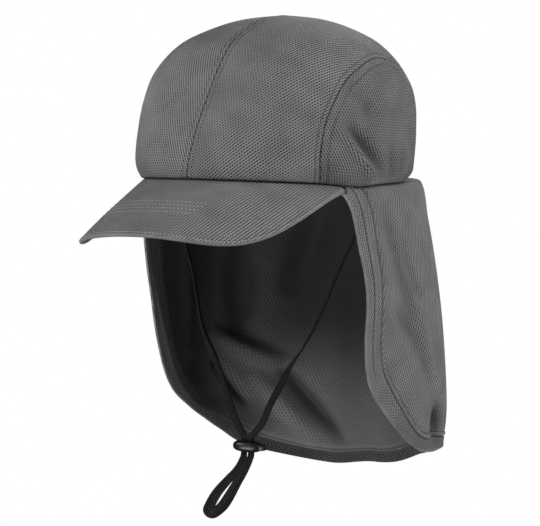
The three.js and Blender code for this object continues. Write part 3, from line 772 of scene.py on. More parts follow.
def knit(name, thread, shade, hollow, sheen, relief):
    """The mesh cloth, from its thread's two colours and its hollows' colour."""
    material, tree, shader = new_material(name, KNIT_ROUGHNESS, sheen)
    place, x, y = cloth_map(tree)
    waver = number(tree, "MULTIPLY", number(tree, "SUBTRACT", noise(tree, place, WAVER_SCALE), 0.5), WAVER)
    u = number(tree, "ADD", x, waver)
    rows = number(tree, "DIVIDE", number(tree, "SUBTRACT", y, waver), EYELET_ROW)
    half = number(tree, "FRACT", number(tree, "MULTIPLY", number(tree, "FLOOR", rows), 0.5))
    up = from_middle(tree, rows, EYELET_ROW)
    steps = number(tree, "ADD", number(tree, "DIVIDE", u, EYELET_STEP), half)
    aside = from_middle(tree, steps, EYELET_STEP)
    slanted = number(tree, "DIVIDE", number(tree, "MULTIPLY_ADD", up, EYELET_SLANT, aside), EYELET_HALF[0])
    tall = number(tree, "DIVIDE", up, EYELET_HALF[1])
    far = number(tree, "MULTIPLY_ADD", slanted, slanted, number(tree, "MULTIPLY", tall, tall))
    unfolded = number(tree, "SUBTRACT", 1.0, kept_value(tree, PLAIN))
    eyelet = number(tree, "MULTIPLY", ramp(tree, far, *EYELET_EDGE, 1.0, 0.0), unfolded)
    fuzz = noise(tree, place, FUZZ_SCALE, FUZZ_DETAIL)
    tone = number(tree, "MULTIPLY_ADD", fuzz, FUZZ_TONE, noise(tree, place, TONE_SCALE, TONE_DETAIL))
    cloth = blend(tree, ramp(tree, tone, *TONES), thread, shade)
    # painted shade: the knit's colour is taken towards near black as far as the kept painted shade says
    dark = number(tree, "MULTIPLY", kept_value(tree, PAINTED_SHADE), PAINTED_SHADE_DEPTH)
    woven = blend(tree, eyelet, cloth, hollow)
    tree.links.new(blend(tree, dark, woven, PAINTED_SHADE_COLOUR), shader.inputs["Base Color"])
    loops = number(tree, "MULTIPLY", number(tree, "SINE", number(tree, "MULTIPLY", u, LOOPS)), LOOP_HEIGHT)
    height = number(tree, "SUBTRACT", number(tree, "MULTIPLY_ADD", fuzz, FUZZ_HEIGHT, loops), eyelet)
    bump(tree, shader, height, relief, 1.0)
    print(name, "of", len(tree.nodes), "nodes")
    return material


# %% The two sides of the knit
THREAD_PALE, THREAD_MID, HOLLOW = (0.318, 0.309, 0.302), (0.224, 0.218, 0.213), (0.01, 0.0095, 0.0095)
INSIDE_PALE, INSIDE_MID, INSIDE_HOLLOW = (0.26, 0.247, 0.25), (0.2, 0.19, 0.193), (0.13, 0.122, 0.124)
OUTER_SHEEN, OUTER_RELIEF = 0.3, 0.5 * MM
INNER_SHEEN, INNER_RELIEF = 0.15, 0.15 * MM
outer_knit = knit("eyelet knit", THREAD_PALE, THREAD_MID, HOLLOW, OUTER_SHEEN, OUTER_RELIEF)
inner_knit = knit("knit inner side", INSIDE_PALE, INSIDE_MID, INSIDE_HOLLOW, INNER_SHEEN, INNER_RELIEF)

# %% [markdown]
# ## The crown
# Six pieces of cloth make a real crown; this one has four. Two long panels meet in a seam over the top of
# the head, and a D-shaped panel is let in over each ear. The dome is one surface, and each panel fills
# the seams round it, so neighbours always meet. Along a seam the cloth turns in, and a row of stitches
# on either side presses a shallow channel.

# %% Shared shapes of the crown
CROWN_STEPS = (RUN_STEP, RUN_STEP)
ARCH_POINTS, MIDDLE_POINTS, FOOT_POINTS = 900, 1200, 1200
INWARD = 0.999  # normals are taken this share out from the top, so that none is taken past the edge
SEAM_TURN = 1.1 * MM  # radius with which the cloth turns into a seam
SEAM_ROW = 3.6 * MM  # from a seam to its row of stitches
ARCH_ROW = 5.8 * MM  # from the arch's seam to the row on the side panel
ROW_WIDTH, ROW_DEPTH = 0.75 * MM, 0.45 * MM
SEAM_PUCKER = (7 * MM, 0.045 * MM)
EDGE_TURN = 0.7 * MM
EDGE_THIN, CLOTH_LEAST = 0.6, 0.5 * MM  # how much thinner the cloth gets where it turns, and its least
SWELL_REACHES = (13 * MM, 9 * MM)  # how far from the arch and from the foot a side panel swells
CROWN_GRAINS = {1: 8.0, -1: 25.0}  # how the knit's rows turn on each side, in degrees
SIDE_GRAIN = 12.0
# how dark each line of painted shade along the seams, their rows and the foot is and how wide, then the
# broader painted shades
SEAM_LINE, ROW_LINE, FOOT_LINE = (0.85, 0.55 * MM), (0.4, 0.5 * MM), (0.7, 0.9 * MM)
MIDDLE_SHARE = 0.8  # how dark the middle seam's painted shade is beside the arches'
# painted shade in the folds' hollows, over the side panels and most near their foot, and over the crown's
# inner side
CROWN_HOLLOW, CROWN_FOLD_SHADE = 4 * MM, 0.4
SIDE_SHADE, SIDE_FOOT_SHADE, SIDE_FOOT = 0.16, 0.16, (4 * MM, 40 * MM)
CROWN_INSIDE_SHADE = 0.5


def arch_at(t):
    return np.array([column(ARCH_ROWS, "along", "angle", t), column(ARCH_ROWS, "along", "run", t)])


def arch_line(side):
    x, y = flat(*arch_at(np.linspace(0, 1, ARCH_POINTS)))
    return on_dome(side * x, y)


def middle_line():
    return on_dome(np.full(MIDDLE_POINTS, TINY * RUN_STEP), np.linspace(1, -1, MIDDLE_POINTS))


def foot_line():
    return crown(np.linspace(-180, 180, FOOT_POINTS), np.zeros(FOOT_POINTS))


def crown_normal(x, y):
    return normal_of(on_dome, x, y, CROWN_STEPS, -1)


def fold_shade(x, y):
    """How much painted shade the hollows of the crown's folds get."""
    folds = crown_folds(np.degrees(np.arctan2(x, y)), 1 - np.hypot(x, y))
    return CROWN_FOLD_SHADE * (-folds / CROWN_HOLLOW).clip(0, 1)


def seam_shape(distance, along, row):
    """What a sewn seam does to the cloth beside it."""
    channel = groove(distance, row, ROW_WIDTH, ROW_DEPTH)
    return channel - rounding(distance, SEAM_TURN) + puckers(along, distance, *SEAM_PUCKER)


def panel(name, x, y, seams, grain, domed=False):
    """A panel from its places on the flat circle. Each seam is a line, how far off its stitches lie and how
    dark its painted shade is, and a domed panel swells inside its last seam and gets more painted shade."""
    base = on_dome(x, y)
    normal = crown_normal(x * INWARD, y * INWARD)
    edge, _ = nearest(base, foot_line())
    turned = rounding(edge, EDGE_TURN)
    out = -turned
    # painted shade along the foot, in the folds' hollows and along each seam and its row of stitches
    shade = line_shade(edge, 0, FOOT_LINE) + fold_shade(x, y)
    for line, row, dark in seams:
        seam, along = nearest(base, line)
        out = out + seam_shape(seam, along, row)
        turned = turned + rounding(seam, EDGE_TURN)
        shade = shade + dark * (line_shade(seam, 0, SEAM_LINE) + line_shade(seam, row, ROW_LINE))
    swell = np.zeros_like(edge)
    if domed:
        swell = SIDE_SWELL * ease(0, SWELL_REACHES[0], seam) * ease(0, SWELL_REACHES[1], edge)
        # painted shade over the side panel, deeper near its foot
        shade = shade + SIDE_SHADE + SIDE_FOOT_SHADE * (1 - ease(*SIDE_FOOT, edge))
    outer = base + normal * (swell + out)[..., None]
    inner = base + normal * (swell - np.maximum(CLOTH - EDGE_THIN * turned, CLOTH_LEAST))[..., None]
    uv = laid_flat(base, grain)
    # the inner side gets an even painted shade
    return wall(name, outer, inner, uv, (outer_knit, inner_knit), shade, CROWN_INSIDE_SHADE)


# %% Crown panels


def crown_panel(name, side):
    s = stations((0.03, 6), (0.09, 8), (0.9, 36), (0.96, 8), (1.0, 8))[None, :]
    t = stations((0.02, 5), (0.98, 130), (1.0, 5))[:, None]
    foot, heel = arch_at(0.0)[0], arch_at(1.0)[0]
    gap = SEAM_GAP / CROWN_REACH
    x, y = patch(
        lambda s: flat(mix(foot, 0, s), 0),
        lambda s: flat(mix(heel, 180, s), 0),
        lambda t: flat(*arch_at(t)),
        lambda t: np.array([gap + 0 * t, 1 - 2 * t]),
        s,
        t,
    )
    seams = [(middle_line(), SEAM_ROW, MIDDLE_SHARE), (arch_line(side), SEAM_ROW, 1.0)]
    return panel(name, side * x, y, seams, CROWN_GRAINS[side])


crown_left = crown_panel("crown_left", 1)
crown_right = crown_panel("crown_right", -1)

# %% Side panels


def side_panel(name, side):
    s = stations((0.1, 14), (0.9, 44), (1.0, 14))[None, :]
    t = stations((0.88, 44), (1.0, 16))[:, None]
    turn, bend = ARCH_CORNERS
    centre = (arch_at(0.0)[0] + arch_at(1.0)[0]) / 2
    shrink = 1 - SEAM_GAP / HALF_WIDTH

    def seam(t):
        angle, run = arch_at(t)
        return np.array([mix(centre, angle, shrink), run * shrink])

    angle, run = patch(
        lambda s: np.array([mix(seam(0.0)[0], seam(1.0)[0], s), 0 * s]),
        lambda s: seam(mix(turn, bend, s)),
        lambda t: seam(mix(0, turn, t)),
        lambda t: seam(mix(1, bend, t)),
        s,
        t,
    )
    seams = [(arch_line(side), ARCH_ROW, 1.0)]
    return panel(name, *flat(side * angle, run), seams, SIDE_GRAIN * side, domed=True)


side_left = side_panel("side_left", 1)
side_right = side_panel("side_right", -1)

# %% [markdown]
# ## The peak
# A stiff board is wrapped in two layers of the same mesh. It leaves the crown's front edge, slopes down
# and droops at both sides. Its upper and lower faces meet in a rounded front edge, with one row of
# stitches close to it and four rows that hold the board halfway out.

# %% Peak
PEAK_DEPTH = 72 * MM
PEAK_THICKNESS = 3 * MM
PEAK_END_ANGLE = 64.0
PEAK_END_WIDTH = 3 * MM
PEAK_SLOPE = 23.0
PEAK_CAMBER = 50 * MM
CAMBER_ACROSS, CAMBER_OUT = 3.9, 1.7
PEAK_TWIST = 2.5 * MM
PEAK_CORNERS = 0.087
PEAK_CROWNING = 2.5 * MM
PEAK_EDGE_ROW = 2.6 * MM
PEAK_ROWS = (0.47, 0.53, 0.59, 0.65)
PEAK_DROP = 0.75 * MM
PEAK_TUCK = 0.035  # how far below 0 its share out starts, on the part that is tucked inside the crown
PEAK_TUCK_IN, PEAK_TUCK_UP = 2.2 * MM, 1.9 * MM
PEAK_GRAIN = 25.0
PEAK_EVEN = 0.55  # how evenly its points lie by angle, and the rest by their place across
PEAK_BELOW = -10.0  # a place far under the peak
EDGE_GROOVE, ROW_GROOVE = (0.6 * MM, 0.25 * MM), (0.009, 0.12 * MM)
ROWS_FADE = (0.4, 0.7)  # how far across the peak the four rows die away
PEAK_PUCKER = (5 * MM, 0.03 * MM)
PEAK_ROUND_GAP = 0.02 * MM  # between its two faces where they meet in the edge
CROWN_SHADOW, SHADOW_DARK = 2.2 * MM, 0.95  # painted shadow on the peak under the crown's edge
# painted shade along the edge's row of stitches, on the rounded edge, and over the underside
PEAK_ROW_LINE = (0.3, 0.5 * MM)
PEAK_RIM_SHADE, PEAK_RIM, PEAK_PLAIN = 0.3, (0, 1.4 * MM), (0.3 * MM, 1.2 * MM)
PEAK_UNDER_SHADE = 0.2
PEAK_COLUMNS, RIM_POINTS = 181, 1500

peak_end = bare_crown(np.float64(PEAK_END_ANGLE), np.float64(0))
peak_half = peak_end[0] + PEAK_END_WIDTH
peak_reach = HALF_LENGTH + PEAK_DEPTH + peak_end[1]


def on_peak(u, t):
    """u goes from -1 to 1 across the peak, and t from 0 at the crown to 1 at the front edge. Below 0, t is on
    the part that is turned up inside the crown."""
    rim = bare_crown(PEAK_END_ANGLE * u, 0 * u)
    tuck = np.clip(-t / PEAK_TUCK, 0, 1)
    t = np.maximum(t, 0)
    shrink = 1 - (CLOTH + PEAK_TUCK_IN * tuck) / np.hypot(rim[..., 0], rim[..., 1])
    inner_x, inner_y = rim[..., 0] * shrink, rim[..., 1] * shrink
    inner_z = rim[..., 2] - PEAK_DROP + PEAK_TUCK_UP * tuck
    turn = np.pi / 2 * np.clip(u, -1, 1)
    x = peak_half * np.sin(turn)
    y = peak_end[1] - peak_reach * np.cos(turn) * (1 + PEAK_CORNERS * np.sin(2 * turn) ** 2)
    out = np.hypot(x - inner_x, y - inner_y)
    reach = out / PEAK_DEPTH
    droop = PEAK_CAMBER * abs(x / peak_half) ** CAMBER_ACROSS - PEAK_TWIST * x / peak_half
    z = inner_z - np.tan(np.radians(PEAK_SLOPE)) * out - droop * reach**CAMBER_OUT
    crowned = PEAK_CROWNING * 4 * t * (1 - t) * np.minimum(reach, 1)
    return points_of(mix(inner_x, x, t), mix(inner_y, y, t), mix(inner_z, z, t) + crowned)


def grid_normal(grid, core):
    """Normals of a grid from its own points, turned away from a point."""
    normal = unit(np.cross(np.gradient(grid, axis=1), np.gradient(grid, axis=0)))
    away = ((grid - core) * normal).sum(axis=-1, keepdims=True)
    return np.where(away < 0, -normal, normal)


def make_peak():
    turn = np.linspace(-1, 1, PEAK_COLUMNS)
    u = mix(np.sin(turn * np.pi / 2), turn, PEAK_EVEN)[None, :]
    t = mix(-PEAK_TUCK, 1, stations((0.9, 60), (1.0, 18)))[:, None]
    u, t = np.broadcast_arrays(u, t)
    base = on_peak(u, t)
    normal = grid_normal(base, np.array([0, -HALF_LENGTH, PEAK_BELOW]))
    edge, along = nearest(base, on_peak(np.linspace(-1, 1, RIM_POINTS), np.ones(RIM_POINTS)))
    turned = rounding(edge, PEAK_THICKNESS / 2)
    out = groove(edge, PEAK_EDGE_ROW, *EDGE_GROOVE) - turned + puckers(along, edge, *PEAK_PUCKER)
    for row in PEAK_ROWS:
        out = out + groove(t, row, *ROW_GROOVE) * (1 - ease(*ROWS_FADE, abs(u)))
    outer = base + normal * out[..., None]
    inner = base + normal * (turned - PEAK_THICKNESS + PEAK_ROUND_GAP)[..., None]
    # painted shadow under the crown's edge, and painted shade along the edge's row and on the rounded edge
    shade = SHADOW_DARK * (1 - ease(0, CROWN_SHADOW, t * PEAK_DEPTH))
    shade = shade + line_shade(edge, PEAK_EDGE_ROW, PEAK_ROW_LINE)
    shade = shade + PEAK_RIM_SHADE * (1 - ease(*PEAK_RIM, edge))
    plain = 1 - ease(*PEAK_PLAIN, edge)
    uv = laid_flat(base, PEAK_GRAIN)
    # the underside gets an even painted shade
    return wall("peak_cloth", outer, inner, uv, (outer_knit, outer_knit), shade, PEAK_UNDER_SHADE, plain)


peak = make_peak()

# %% [markdown]
# ## The cape
# One large piece hangs from the crown's lower edge, from behind one end of the peak round to the other. A
# doubled strip is sewn along its front edges and on round the hem. The strip shows two narrow raised
# welts, one where it is folded and one where it meets the cape. Its inner side is painted darker, with
# painted shade, because little light gets into it.

# %% Outline of the cape
DEGREE_ALONG = 1.1 * HALF_WIDTH * np.radians(1)  # a degree's length along the cloth
TOP_CLIMB = (0, 0.1)  # in this share of the outline the strip's lines climb to the cape's top
FLARE_END = 0.24


def outline(side, along):
    angle = column(OUTLINE_ROWS, "along", "angle", along)
    run = column(OUTLINE_ROWS, "along", "run", along)
    drop = 0.0
    for i in np.flatnonzero(HEM_SWAYS["side"] == side):
        off = (angle - HEM_SWAYS["angle"][i]) / HEM_SWAYS["spread"][i]
        drop = drop + HEM_SWAYS["drop"][i] * MM * np.exp(-off * off)
    return angle, run + drop * (1 - ease(*HEM_LEVEL_ANGLES, angle)) / CAPE_DROP


def top_run(angle):
    return OUTLINE_ROWS["run"][0] * (1 - ease(*TOP_ANGLES, angle))


def inset(side, along, width):
    """The line a width inside the outline, its top brought up to the cape's own top."""
    angle, run = outline(side, along)
    before = outline(side, np.maximum(along - RUN_STEP, 0))
    after = outline(side, np.minimum(along + RUN_STEP, 1))
    dx = (after[0] - before[0]) * DEGREE_ALONG
    dy = (after[1] - before[1]) * CAPE_DROP
    length = np.hypot(dx, dy)
    x = angle + dy / length * width / DEGREE_ALONG
    y = run - dx / length * width / CAPE_DROP
    climb = (y - top_run(x)) * (1 - ease(*TOP_CLIMB, along))
    return x, y - climb


def band_width(along):
    flared = mix(CAPE_BAND * BAND_FLARE, CAPE_BAND, ease(0, FLARE_END, along))
    return mix(flared, HEM_BAND, ease(BAND_FULL, BAND_TAPERED, along))


def band_share(t, corner):
    """The share of the outline at a share of the strip, whose rows crowd at its top."""
    top = OUTLINE_CORNER * np.minimum(t / corner, 1) ** TOP_CROWDING
    return np.where(t < corner, top, mix(OUTLINE_CORNER, 1, (t - corner) / (1 - corner)))


CAPE_STEPS = (0.5, 2 * RUN_STEP)
PAST_HEM = 1.2  # the run past the hem to which the cape's surface is defined


def cape_normal(angle, run):
    return normal_of(cape, angle, np.clip(run, CAPE_STEPS[1], PAST_HEM), CAPE_STEPS, -1)


TOP_TUCK, TOP_TUCK_IN = 2.6 * MM, 0.3 * MM  # how far the cloth's inner side is turned up, and in
TUCK_ANGLES = (64, 67)  # where the peak is no longer in its way


def tucked(inner, normal, angle, share):
    """The inner grid with its top turned up inside the crown."""
    amount = (1 - ease(0, 1, share)) * ease(*TUCK_ANGLES, abs(wrapped(angle)))
    turned = inner - normal * (TOP_TUCK_IN * amount)[..., None]
    turned[..., 2] += TOP_TUCK * amount
    return turned


# %% Shapes and shades of the strip
BACK_ANGLE = 180 - 0.1
STRIP_CORNER = 0.46  # the share of its rows that lie above the outline's corner
STRIP_TOP = 0.012  # the share of the outline in which its inner side is turned up
FOLD, STRIP_SEAM = 0.75 * MM, 0.8 * MM  # radii of its folded edge and of its sewn one
STRIP_START = 0.52  # millimetres from the fold to the start of the knit's first step
STRIP_RAISE, RAISE_REACH = 0.45 * MM, (0, 1.2 * MM)
RAISE_END, RAISE_LEFT = (0.9, 1.0), 0.6
FIRST_WELT = (0.44, 0.58)  # shares of the strip's width
WELT_END = (0.3, 0.42)  # where along the outline the welt dies away
WELT_HEIGHT, BEHIND_WELT = 0.75 * MM, 0.25 * MM
WELT_GROOVE = (0.022, 0.6 * MM)
STRIP_PUCKER = (6 * MM, 0.05 * MM)
# how dark each line of painted shade along the welts, the sewn edge and the cloth behind is and how wide, and
# in the same way how plain
WELT_LINE, STRIP_LINE, BEHIND_LINE = (0.75, 0.025), (0.7, 0.5 * MM), (0.6, 0.5 * MM)
WELT_PLAIN, STRIP_PLAIN, FOLD_PLAIN = (1.5, 0.045), (1.3, 0.9 * MM), (0.5 * MM, 1.3 * MM)
# painted shade on the outer side towards the hem, and on the inner side over the cloth behind the strip and
# towards the hem
HEM_PAINTED_SHADE, HEM_SHADE = 0.38, (0.4, 0.6)
BEHIND_SHADE, INNER_HEM_PAINTED_SHADE, INNER_HEM = 0.7, 0.8, (0.55, 0.7)
# how wide the strip is on the inner side, in millimetres, before the cloth behind it begins
BAND_INSIDE = table(
    "along wide",
    [(0.0, 4.5), (0.1, 4.8), (0.2, 6.5), (0.31, 11), (0.4, 9.5), (0.5, 5.5), (0.6, 9), (1.0, 9)],
)


def strip_shape(s, depth, width, along):
    """How far the strip stands out from the cape's surface."""
    upper = 1 - ease(*WELT_END, along)
    out = STRIP_RAISE * ease(*RAISE_REACH, depth) * (1 - RAISE_LEFT * ease(*RAISE_END, s))
    out = out + (welt(s, *FIRST_WELT, WELT_HEIGHT) - BEHIND_WELT * (s > FIRST_WELT[1])) * upper
    out = out + sum(groove(s, share, *WELT_GROOVE) for share in FIRST_WELT) * upper
    return out - rounding(depth, FOLD) - rounding(width - depth, STRIP_SEAM)


def strip_shades(s, depth, width, along):
    """How much painted shade the strip's outer and inner sides get, and how plain they are."""
    upper = 1 - ease(*WELT_END, along)
    shade = sum(line_shade(s, share, WELT_LINE) for share in FIRST_WELT) * upper
    shade = shade + line_shade(width - depth, 0, STRIP_LINE) + HEM_PAINTED_SHADE * ease(*HEM_SHADE, along)
    plain = sum(line_shade(s, share, WELT_PLAIN) for share in FIRST_WELT) * upper
    plain = plain + 1 - ease(*FOLD_PLAIN, depth) + line_shade(width - depth, 0, STRIP_PLAIN)
    behind = column(BAND_INSIDE, "along", "wide", along) * MM
    shade_in = BEHIND_SHADE * ease(0, 1 * MM, depth - behind) + line_shade(depth, behind, BEHIND_LINE)
    return shade, shade_in + INNER_HEM_PAINTED_SHADE * ease(*INNER_HEM, along), plain


# %% Strip round the cape


def cape_band(name, side):
    s = stations((0.12, 8), (0.4, 8), (0.64, 26), (0.92, 8), (1.0, 8))[None, :]
    t = stations((STRIP_CORNER, 130), (1.0, 150))[:, None]
    along, s = np.broadcast_arrays(band_share(t, STRIP_CORNER), s)
    width = band_width(along) - SEAM_GAP / 2
    depth = s * width
    angle, run = inset(side, along, depth)
    angle = side * np.minimum(angle, BACK_ANGLE)
    base = cape(angle, run)
    normal = cape_normal(angle, run)
    length = along_line(base[:, 0])[:, None] + 0 * s
    out = strip_shape(s, depth, width, along) + puckers(length, width - depth, *STRIP_PUCKER)
    outer = base + normal * out[..., None]
    inner = base + normal * (rounding(depth, FOLD) - CLOTH)[..., None]
    inner = tucked(inner, normal, angle, along / STRIP_TOP)
    uv = np.stack([depth / MM + STRIP_START, length / MM], axis=-1)
    return wall(name, outer, inner, uv, (outer_knit, outer_knit), *strip_shades(s, depth, width, along))


band_left = cape_band("cape_strip_left", 1)
band_right = cape_band("cape_strip_right", -1)

# %% Shapes and shades of the cape
SECOND_WELT = (0.9 * MM, 3.3 * MM)  # from the strip
SECOND_HEIGHT, SECOND_GROOVE = 0.8 * MM, (0.5 * MM, 0.6 * MM)
GROOVE_PLACE = SECOND_WELT[1] + 0.4 * MM
CAPE_SEAM, INNER_SEAM, INNER_SEAM_MOST = 0.8 * MM, 0.3, 0.4 * MM
CAPE_TOP = 0.03  # the run in which its inner side is turned up
CAPE_PUCKER = (8 * MM, 0.06 * MM)
CAPE_GRAIN = 12.0
CAPE_KNIT = 0.82  # the cape's cloth is stretched, so its eyelets lie wider apart
# lines of painted shade along the join, beside the second welt and along the row inside, each how dark and
# how wide, then how plain
JOIN_LINE, SECOND_LINE, INSIDE_LINE = (0.75, 0.6 * MM), (0.8, 0.5 * MM), (0.4, 0.5 * MM)
JOIN_PLAIN, SECOND_PLAIN = (1.2, 1.1 * MM), (1.2, 0.9 * MM)
INSIDE_ROW = 1.5 * MM  # from the strip to the row of stitches that shows inside
CAPE_HOLLOW, INNER_HOLLOW = 4.5 * MM, 7 * MM  # how deep a hollow is when its painted shade is darkest
# how much painted shade the hollows of the folds get, outside and inside
CAPE_FOLD_SHADE, INNER_FOLD_SHADE = 0.55, 0.65
# painted shade, because the inner side gets little light: how dark it is painted high up, near the camera,
# and where it turns away
HIGH_SHADE, HIGH_RUNS, HIGH_LEFT, HIGH_ANGLES = 0.99, (0.5, 0.88), 0.2, (205, 225)
NEAR_SHADE, NEAR_ANGLES = 0.36, (190, 208)
FAR_SHADE, FAR_ANGLE, FAR_SPREAD, FAR_RUNS = 0.55, 263.0, 16, (0.78, 0.95)


def cape_places(s, t):
    """Angle and run of the cape's points, s from its left edge round to its right, t from the top down."""

    def edge(side, along):
        angle, run = inset(side, along, band_width(along) + SEAM_GAP / 2)
        return np.array([angle if side > 0 else 360 - angle, run])

    def hem(s):
        near = edge(1, mix(OUTLINE_CORNER, 1, np.minimum(s * 2, 1)))
        far = edge(-1, mix(OUTLINE_CORNER, 1, np.minimum(2 - s * 2, 1)))
        return np.where(s < 0.5, near, far)

    def top(s):
        angle = mix(edge(1, np.zeros((1, 1)))[0], edge(-1, np.zeros((1, 1)))[0], s)
        return np.array([angle, top_run(abs(wrapped(angle)))])

    def left(t):
        return edge(1, OUTLINE_CORNER * t**TOP_CROWDING)

    def right(t):
        return edge(-1, OUTLINE_CORNER * t**TOP_CROWDING)

    return patch(top, hem, left, right, s, t)


def cape_shades(seam, angle, run):
    """How much painted shade the cape's outer and inner sides get, and how plain they are."""
    shade = line_shade(seam, 0, JOIN_LINE) + line_shade(seam, GROOVE_PLACE, SECOND_LINE)
    plain = line_shade(seam, 0, JOIN_PLAIN) + line_shade(seam, GROOVE_PLACE, SECOND_PLAIN)
    folds = cape_folds(angle, run)
    shade = shade + CAPE_FOLD_SHADE * (-folds / CAPE_HOLLOW).clip(0, 1)
    # painted shade inside: high up, near the camera and where it turns away
    high = HIGH_SHADE * (1 - ease(*HIGH_RUNS, run)) * (1 - HIGH_LEFT * ease(*HIGH_ANGLES, angle))
    hidden = 1 - (1 - high) * (1 - NEAR_SHADE * (1 - ease(*NEAR_ANGLES, angle)))
    far = FAR_SHADE * np.exp(-(((angle - FAR_ANGLE) / FAR_SPREAD) ** 2)) * (1 - ease(*FAR_RUNS, run))
    shade_in = hidden + far + line_shade(seam, INSIDE_ROW, INSIDE_LINE)
    return shade, shade_in + INNER_FOLD_SHADE * (folds / INNER_HOLLOW).clip(0, 1), plain


# %% Cape


def make_cape():
    s = stations((0.012, 16), (0.05, 12), (0.95, 180), (0.988, 12), (1.0, 16))[None, :]
    t = stations((0.1, 24), (0.9, 84), (0.975, 12), (1.0, 14))[:, None]
    angle, run = cape_places(s, t)
    base = cape(angle, run)
    normal = cape_normal(angle, run)
    line = np.concatenate([base[:, 0], base[-1, 1:-1], base[::-1, -1]])
    quarters = [mix(line[:-1], line[1:], share)[:, None] for share in (0, 0.25, 0.5, 0.75)]
    fine = np.concatenate(quarters, axis=1)
    seam, along = nearest(base, fine.reshape(-1, 3))
    turned = rounding(seam, CAPE_SEAM)
    out = welt(seam, *SECOND_WELT, SECOND_HEIGHT) + groove(seam, GROOVE_PLACE, *SECOND_GROOVE)
    out = out - turned + puckers(along, seam, *CAPE_PUCKER)
    outer = base + normal * out[..., None]
    inner = base + normal * (np.minimum(INNER_SEAM * turned, INNER_SEAM_MOST) - CLOTH)[..., None]
    inner = tucked(inner, normal, angle, (run - top_run(abs(wrapped(angle)))) / CAPE_TOP)
    uv = laid_flat(base, CAPE_GRAIN) * CAPE_KNIT
    knits = (outer_knit, inner_knit)
    return base, wall("cape_cloth", outer, inner, uv, knits, *cape_shades(seam, angle, run))


cape_base, cape_cloth = make_cape()

# %% [markdown]
# ## Stitches
# Every seam is held by rows of machine stitches. They are made by Geometry Nodes, because one small
# thread repeated along a line is exactly what they are good at: the tree turns a line into evenly spaced
# points, puts a bowed thread on each, and turns it along the row and out from the cloth.

# %% Tree for a row of stitches
THREAD = 0.24 * MM
STITCH_STEP = 3.0 * MM
STITCH_LENGTH = 2.1 * MM
THREAD_SINK, THREAD_BOW = 1.2, 2.0  # in threads, how deep its ends lie and how high its bow is drawn
THREAD_STEPS, THREAD_SIDES = 4, 5
OUTWARD = "outward"


def stitch_tree():
    tree = bpy.data.node_groups.new("row of stitches", "GeometryNodeTree")
    tree.interface.new_socket("Rows", in_out="INPUT", socket_type="NodeSocketGeometry")
    for label in ("Step", "Length", "Thickness"):
        tree.interface.new_socket(label, in_out="INPUT", socket_type="NodeSocketFloat")
    tree.interface.new_socket("Thread", in_out="INPUT", socket_type="NodeSocketMaterial")
    tree.interface.new_socket("Stitches", in_out="OUTPUT", socket_type="NodeSocketGeometry")

    given = tree.nodes.new("NodeGroupInput").outputs
    start = number(tree, "MULTIPLY", given["Length"], -0.5)
    end = number(tree, "MULTIPLY", given["Length"], 0.5)
    sunk = number(tree, "MULTIPLY", given["Thickness"], -THREAD_SINK)
    high = number(tree, "MULTIPLY", given["Thickness"], THREAD_BOW)
    bow = add_node(
        tree,
        "GeometryNodeCurveQuadraticBezier",
        Resolution=THREAD_STEPS,
        Start=add_node(tree, "ShaderNodeCombineXYZ", X=start, Z=sunk).outputs[0],
        Middle=add_node(tree, "ShaderNodeCombineXYZ", Z=high).outputs[0],
        End=add_node(tree, "ShaderNodeCombineXYZ", X=end, Z=sunk).outputs[0],
    )
    profile = add_node(tree, "GeometryNodeCurvePrimitiveCircle", Resolution=THREAD_SIDES)
    feed(tree, profile.inputs["Radius"], given["Thickness"])
    thread = add_node(tree, "GeometryNodeCurveToMesh", Curve=bow.outputs["Curve"], Fill_Caps=True)
    feed(tree, thread.inputs["Profile Curve"], profile.outputs["Curve"])
    line = add_node(tree, "GeometryNodeMeshToCurve", Mesh=given["Rows"])
    spaced = tree.nodes.new("GeometryNodeResampleCurve")
    spaced.mode = "LENGTH"
    feed(tree, spaced.inputs["Curve"], line.outputs["Curve"])
    feed(tree, spaced.inputs["Length"], given["Step"])
    outward = tree.nodes.new("GeometryNodeInputNamedAttribute")
    outward.data_type = "FLOAT_VECTOR"
    outward.inputs["Name"].default_value = OUTWARD
    turn = tree.nodes.new("FunctionNodeAxesToRotation")
    turn.primary_axis, turn.secondary_axis = "X", "Z"
    feed(tree, turn.inputs["Primary Axis"], tree.nodes.new("GeometryNodeInputTangent").outputs[0])
    feed(tree, turn.inputs["Secondary Axis"], outward.outputs["Attribute"])
    placed = add_node(
        tree,
        "GeometryNodeInstanceOnPoints",
        Points=spaced.outputs["Curve"],
        Instance=thread.outputs["Mesh"],
        Rotation=turn.outputs["Rotation"],
    )
    real = add_node(tree, "GeometryNodeRealizeInstances", Geometry=placed.outputs["Instances"])
    painted = add_node(tree, "GeometryNodeSetMaterial", Geometry=real.outputs["Geometry"])
    feed(tree, painted.inputs["Material"], given["Thread"])
    add_node(tree, "NodeGroupOutput", Stitches=painted.outputs["Geometry"])
    return tree


STITCHING = stitch_tree()
print("stitching of", len(STITCHING.nodes), "nodes")

# %% Threads
THREAD_ROUGHNESS, THREAD_SHEEN = 0.6, 0.2
FIBRES, FIBRE_RELIEF, FIBRE_STRENGTH = 2500.0, 0.05 * MM, 0.5
FIBRE_PALER = 1.25
DARK_THREAD, PALE_THREAD = (0.1, 0.098, 0.096), (0.42, 0.413, 0.406)


def thread_finish(name, colour):
    material, tree, shader = new_material(name, THREAD_ROUGHNESS, THREAD_SHEEN)
    fibre = noise(tree, tree.nodes.new("ShaderNodeTexCoord").outputs["Object"], FIBRES)
    pale = tuple(value * FIBRE_PALER for value in colour)
    tree.links.new(blend(tree, fibre, colour, pale), shader.inputs["Base Color"])
    bump(tree, shader, fibre, FIBRE_RELIEF, FIBRE_STRENGTH)
    return material


dark_thread = thread_finish("dark grey thread", DARK_THREAD)
pale_thread = thread_finish("pale grey thread", PALE_THREAD)


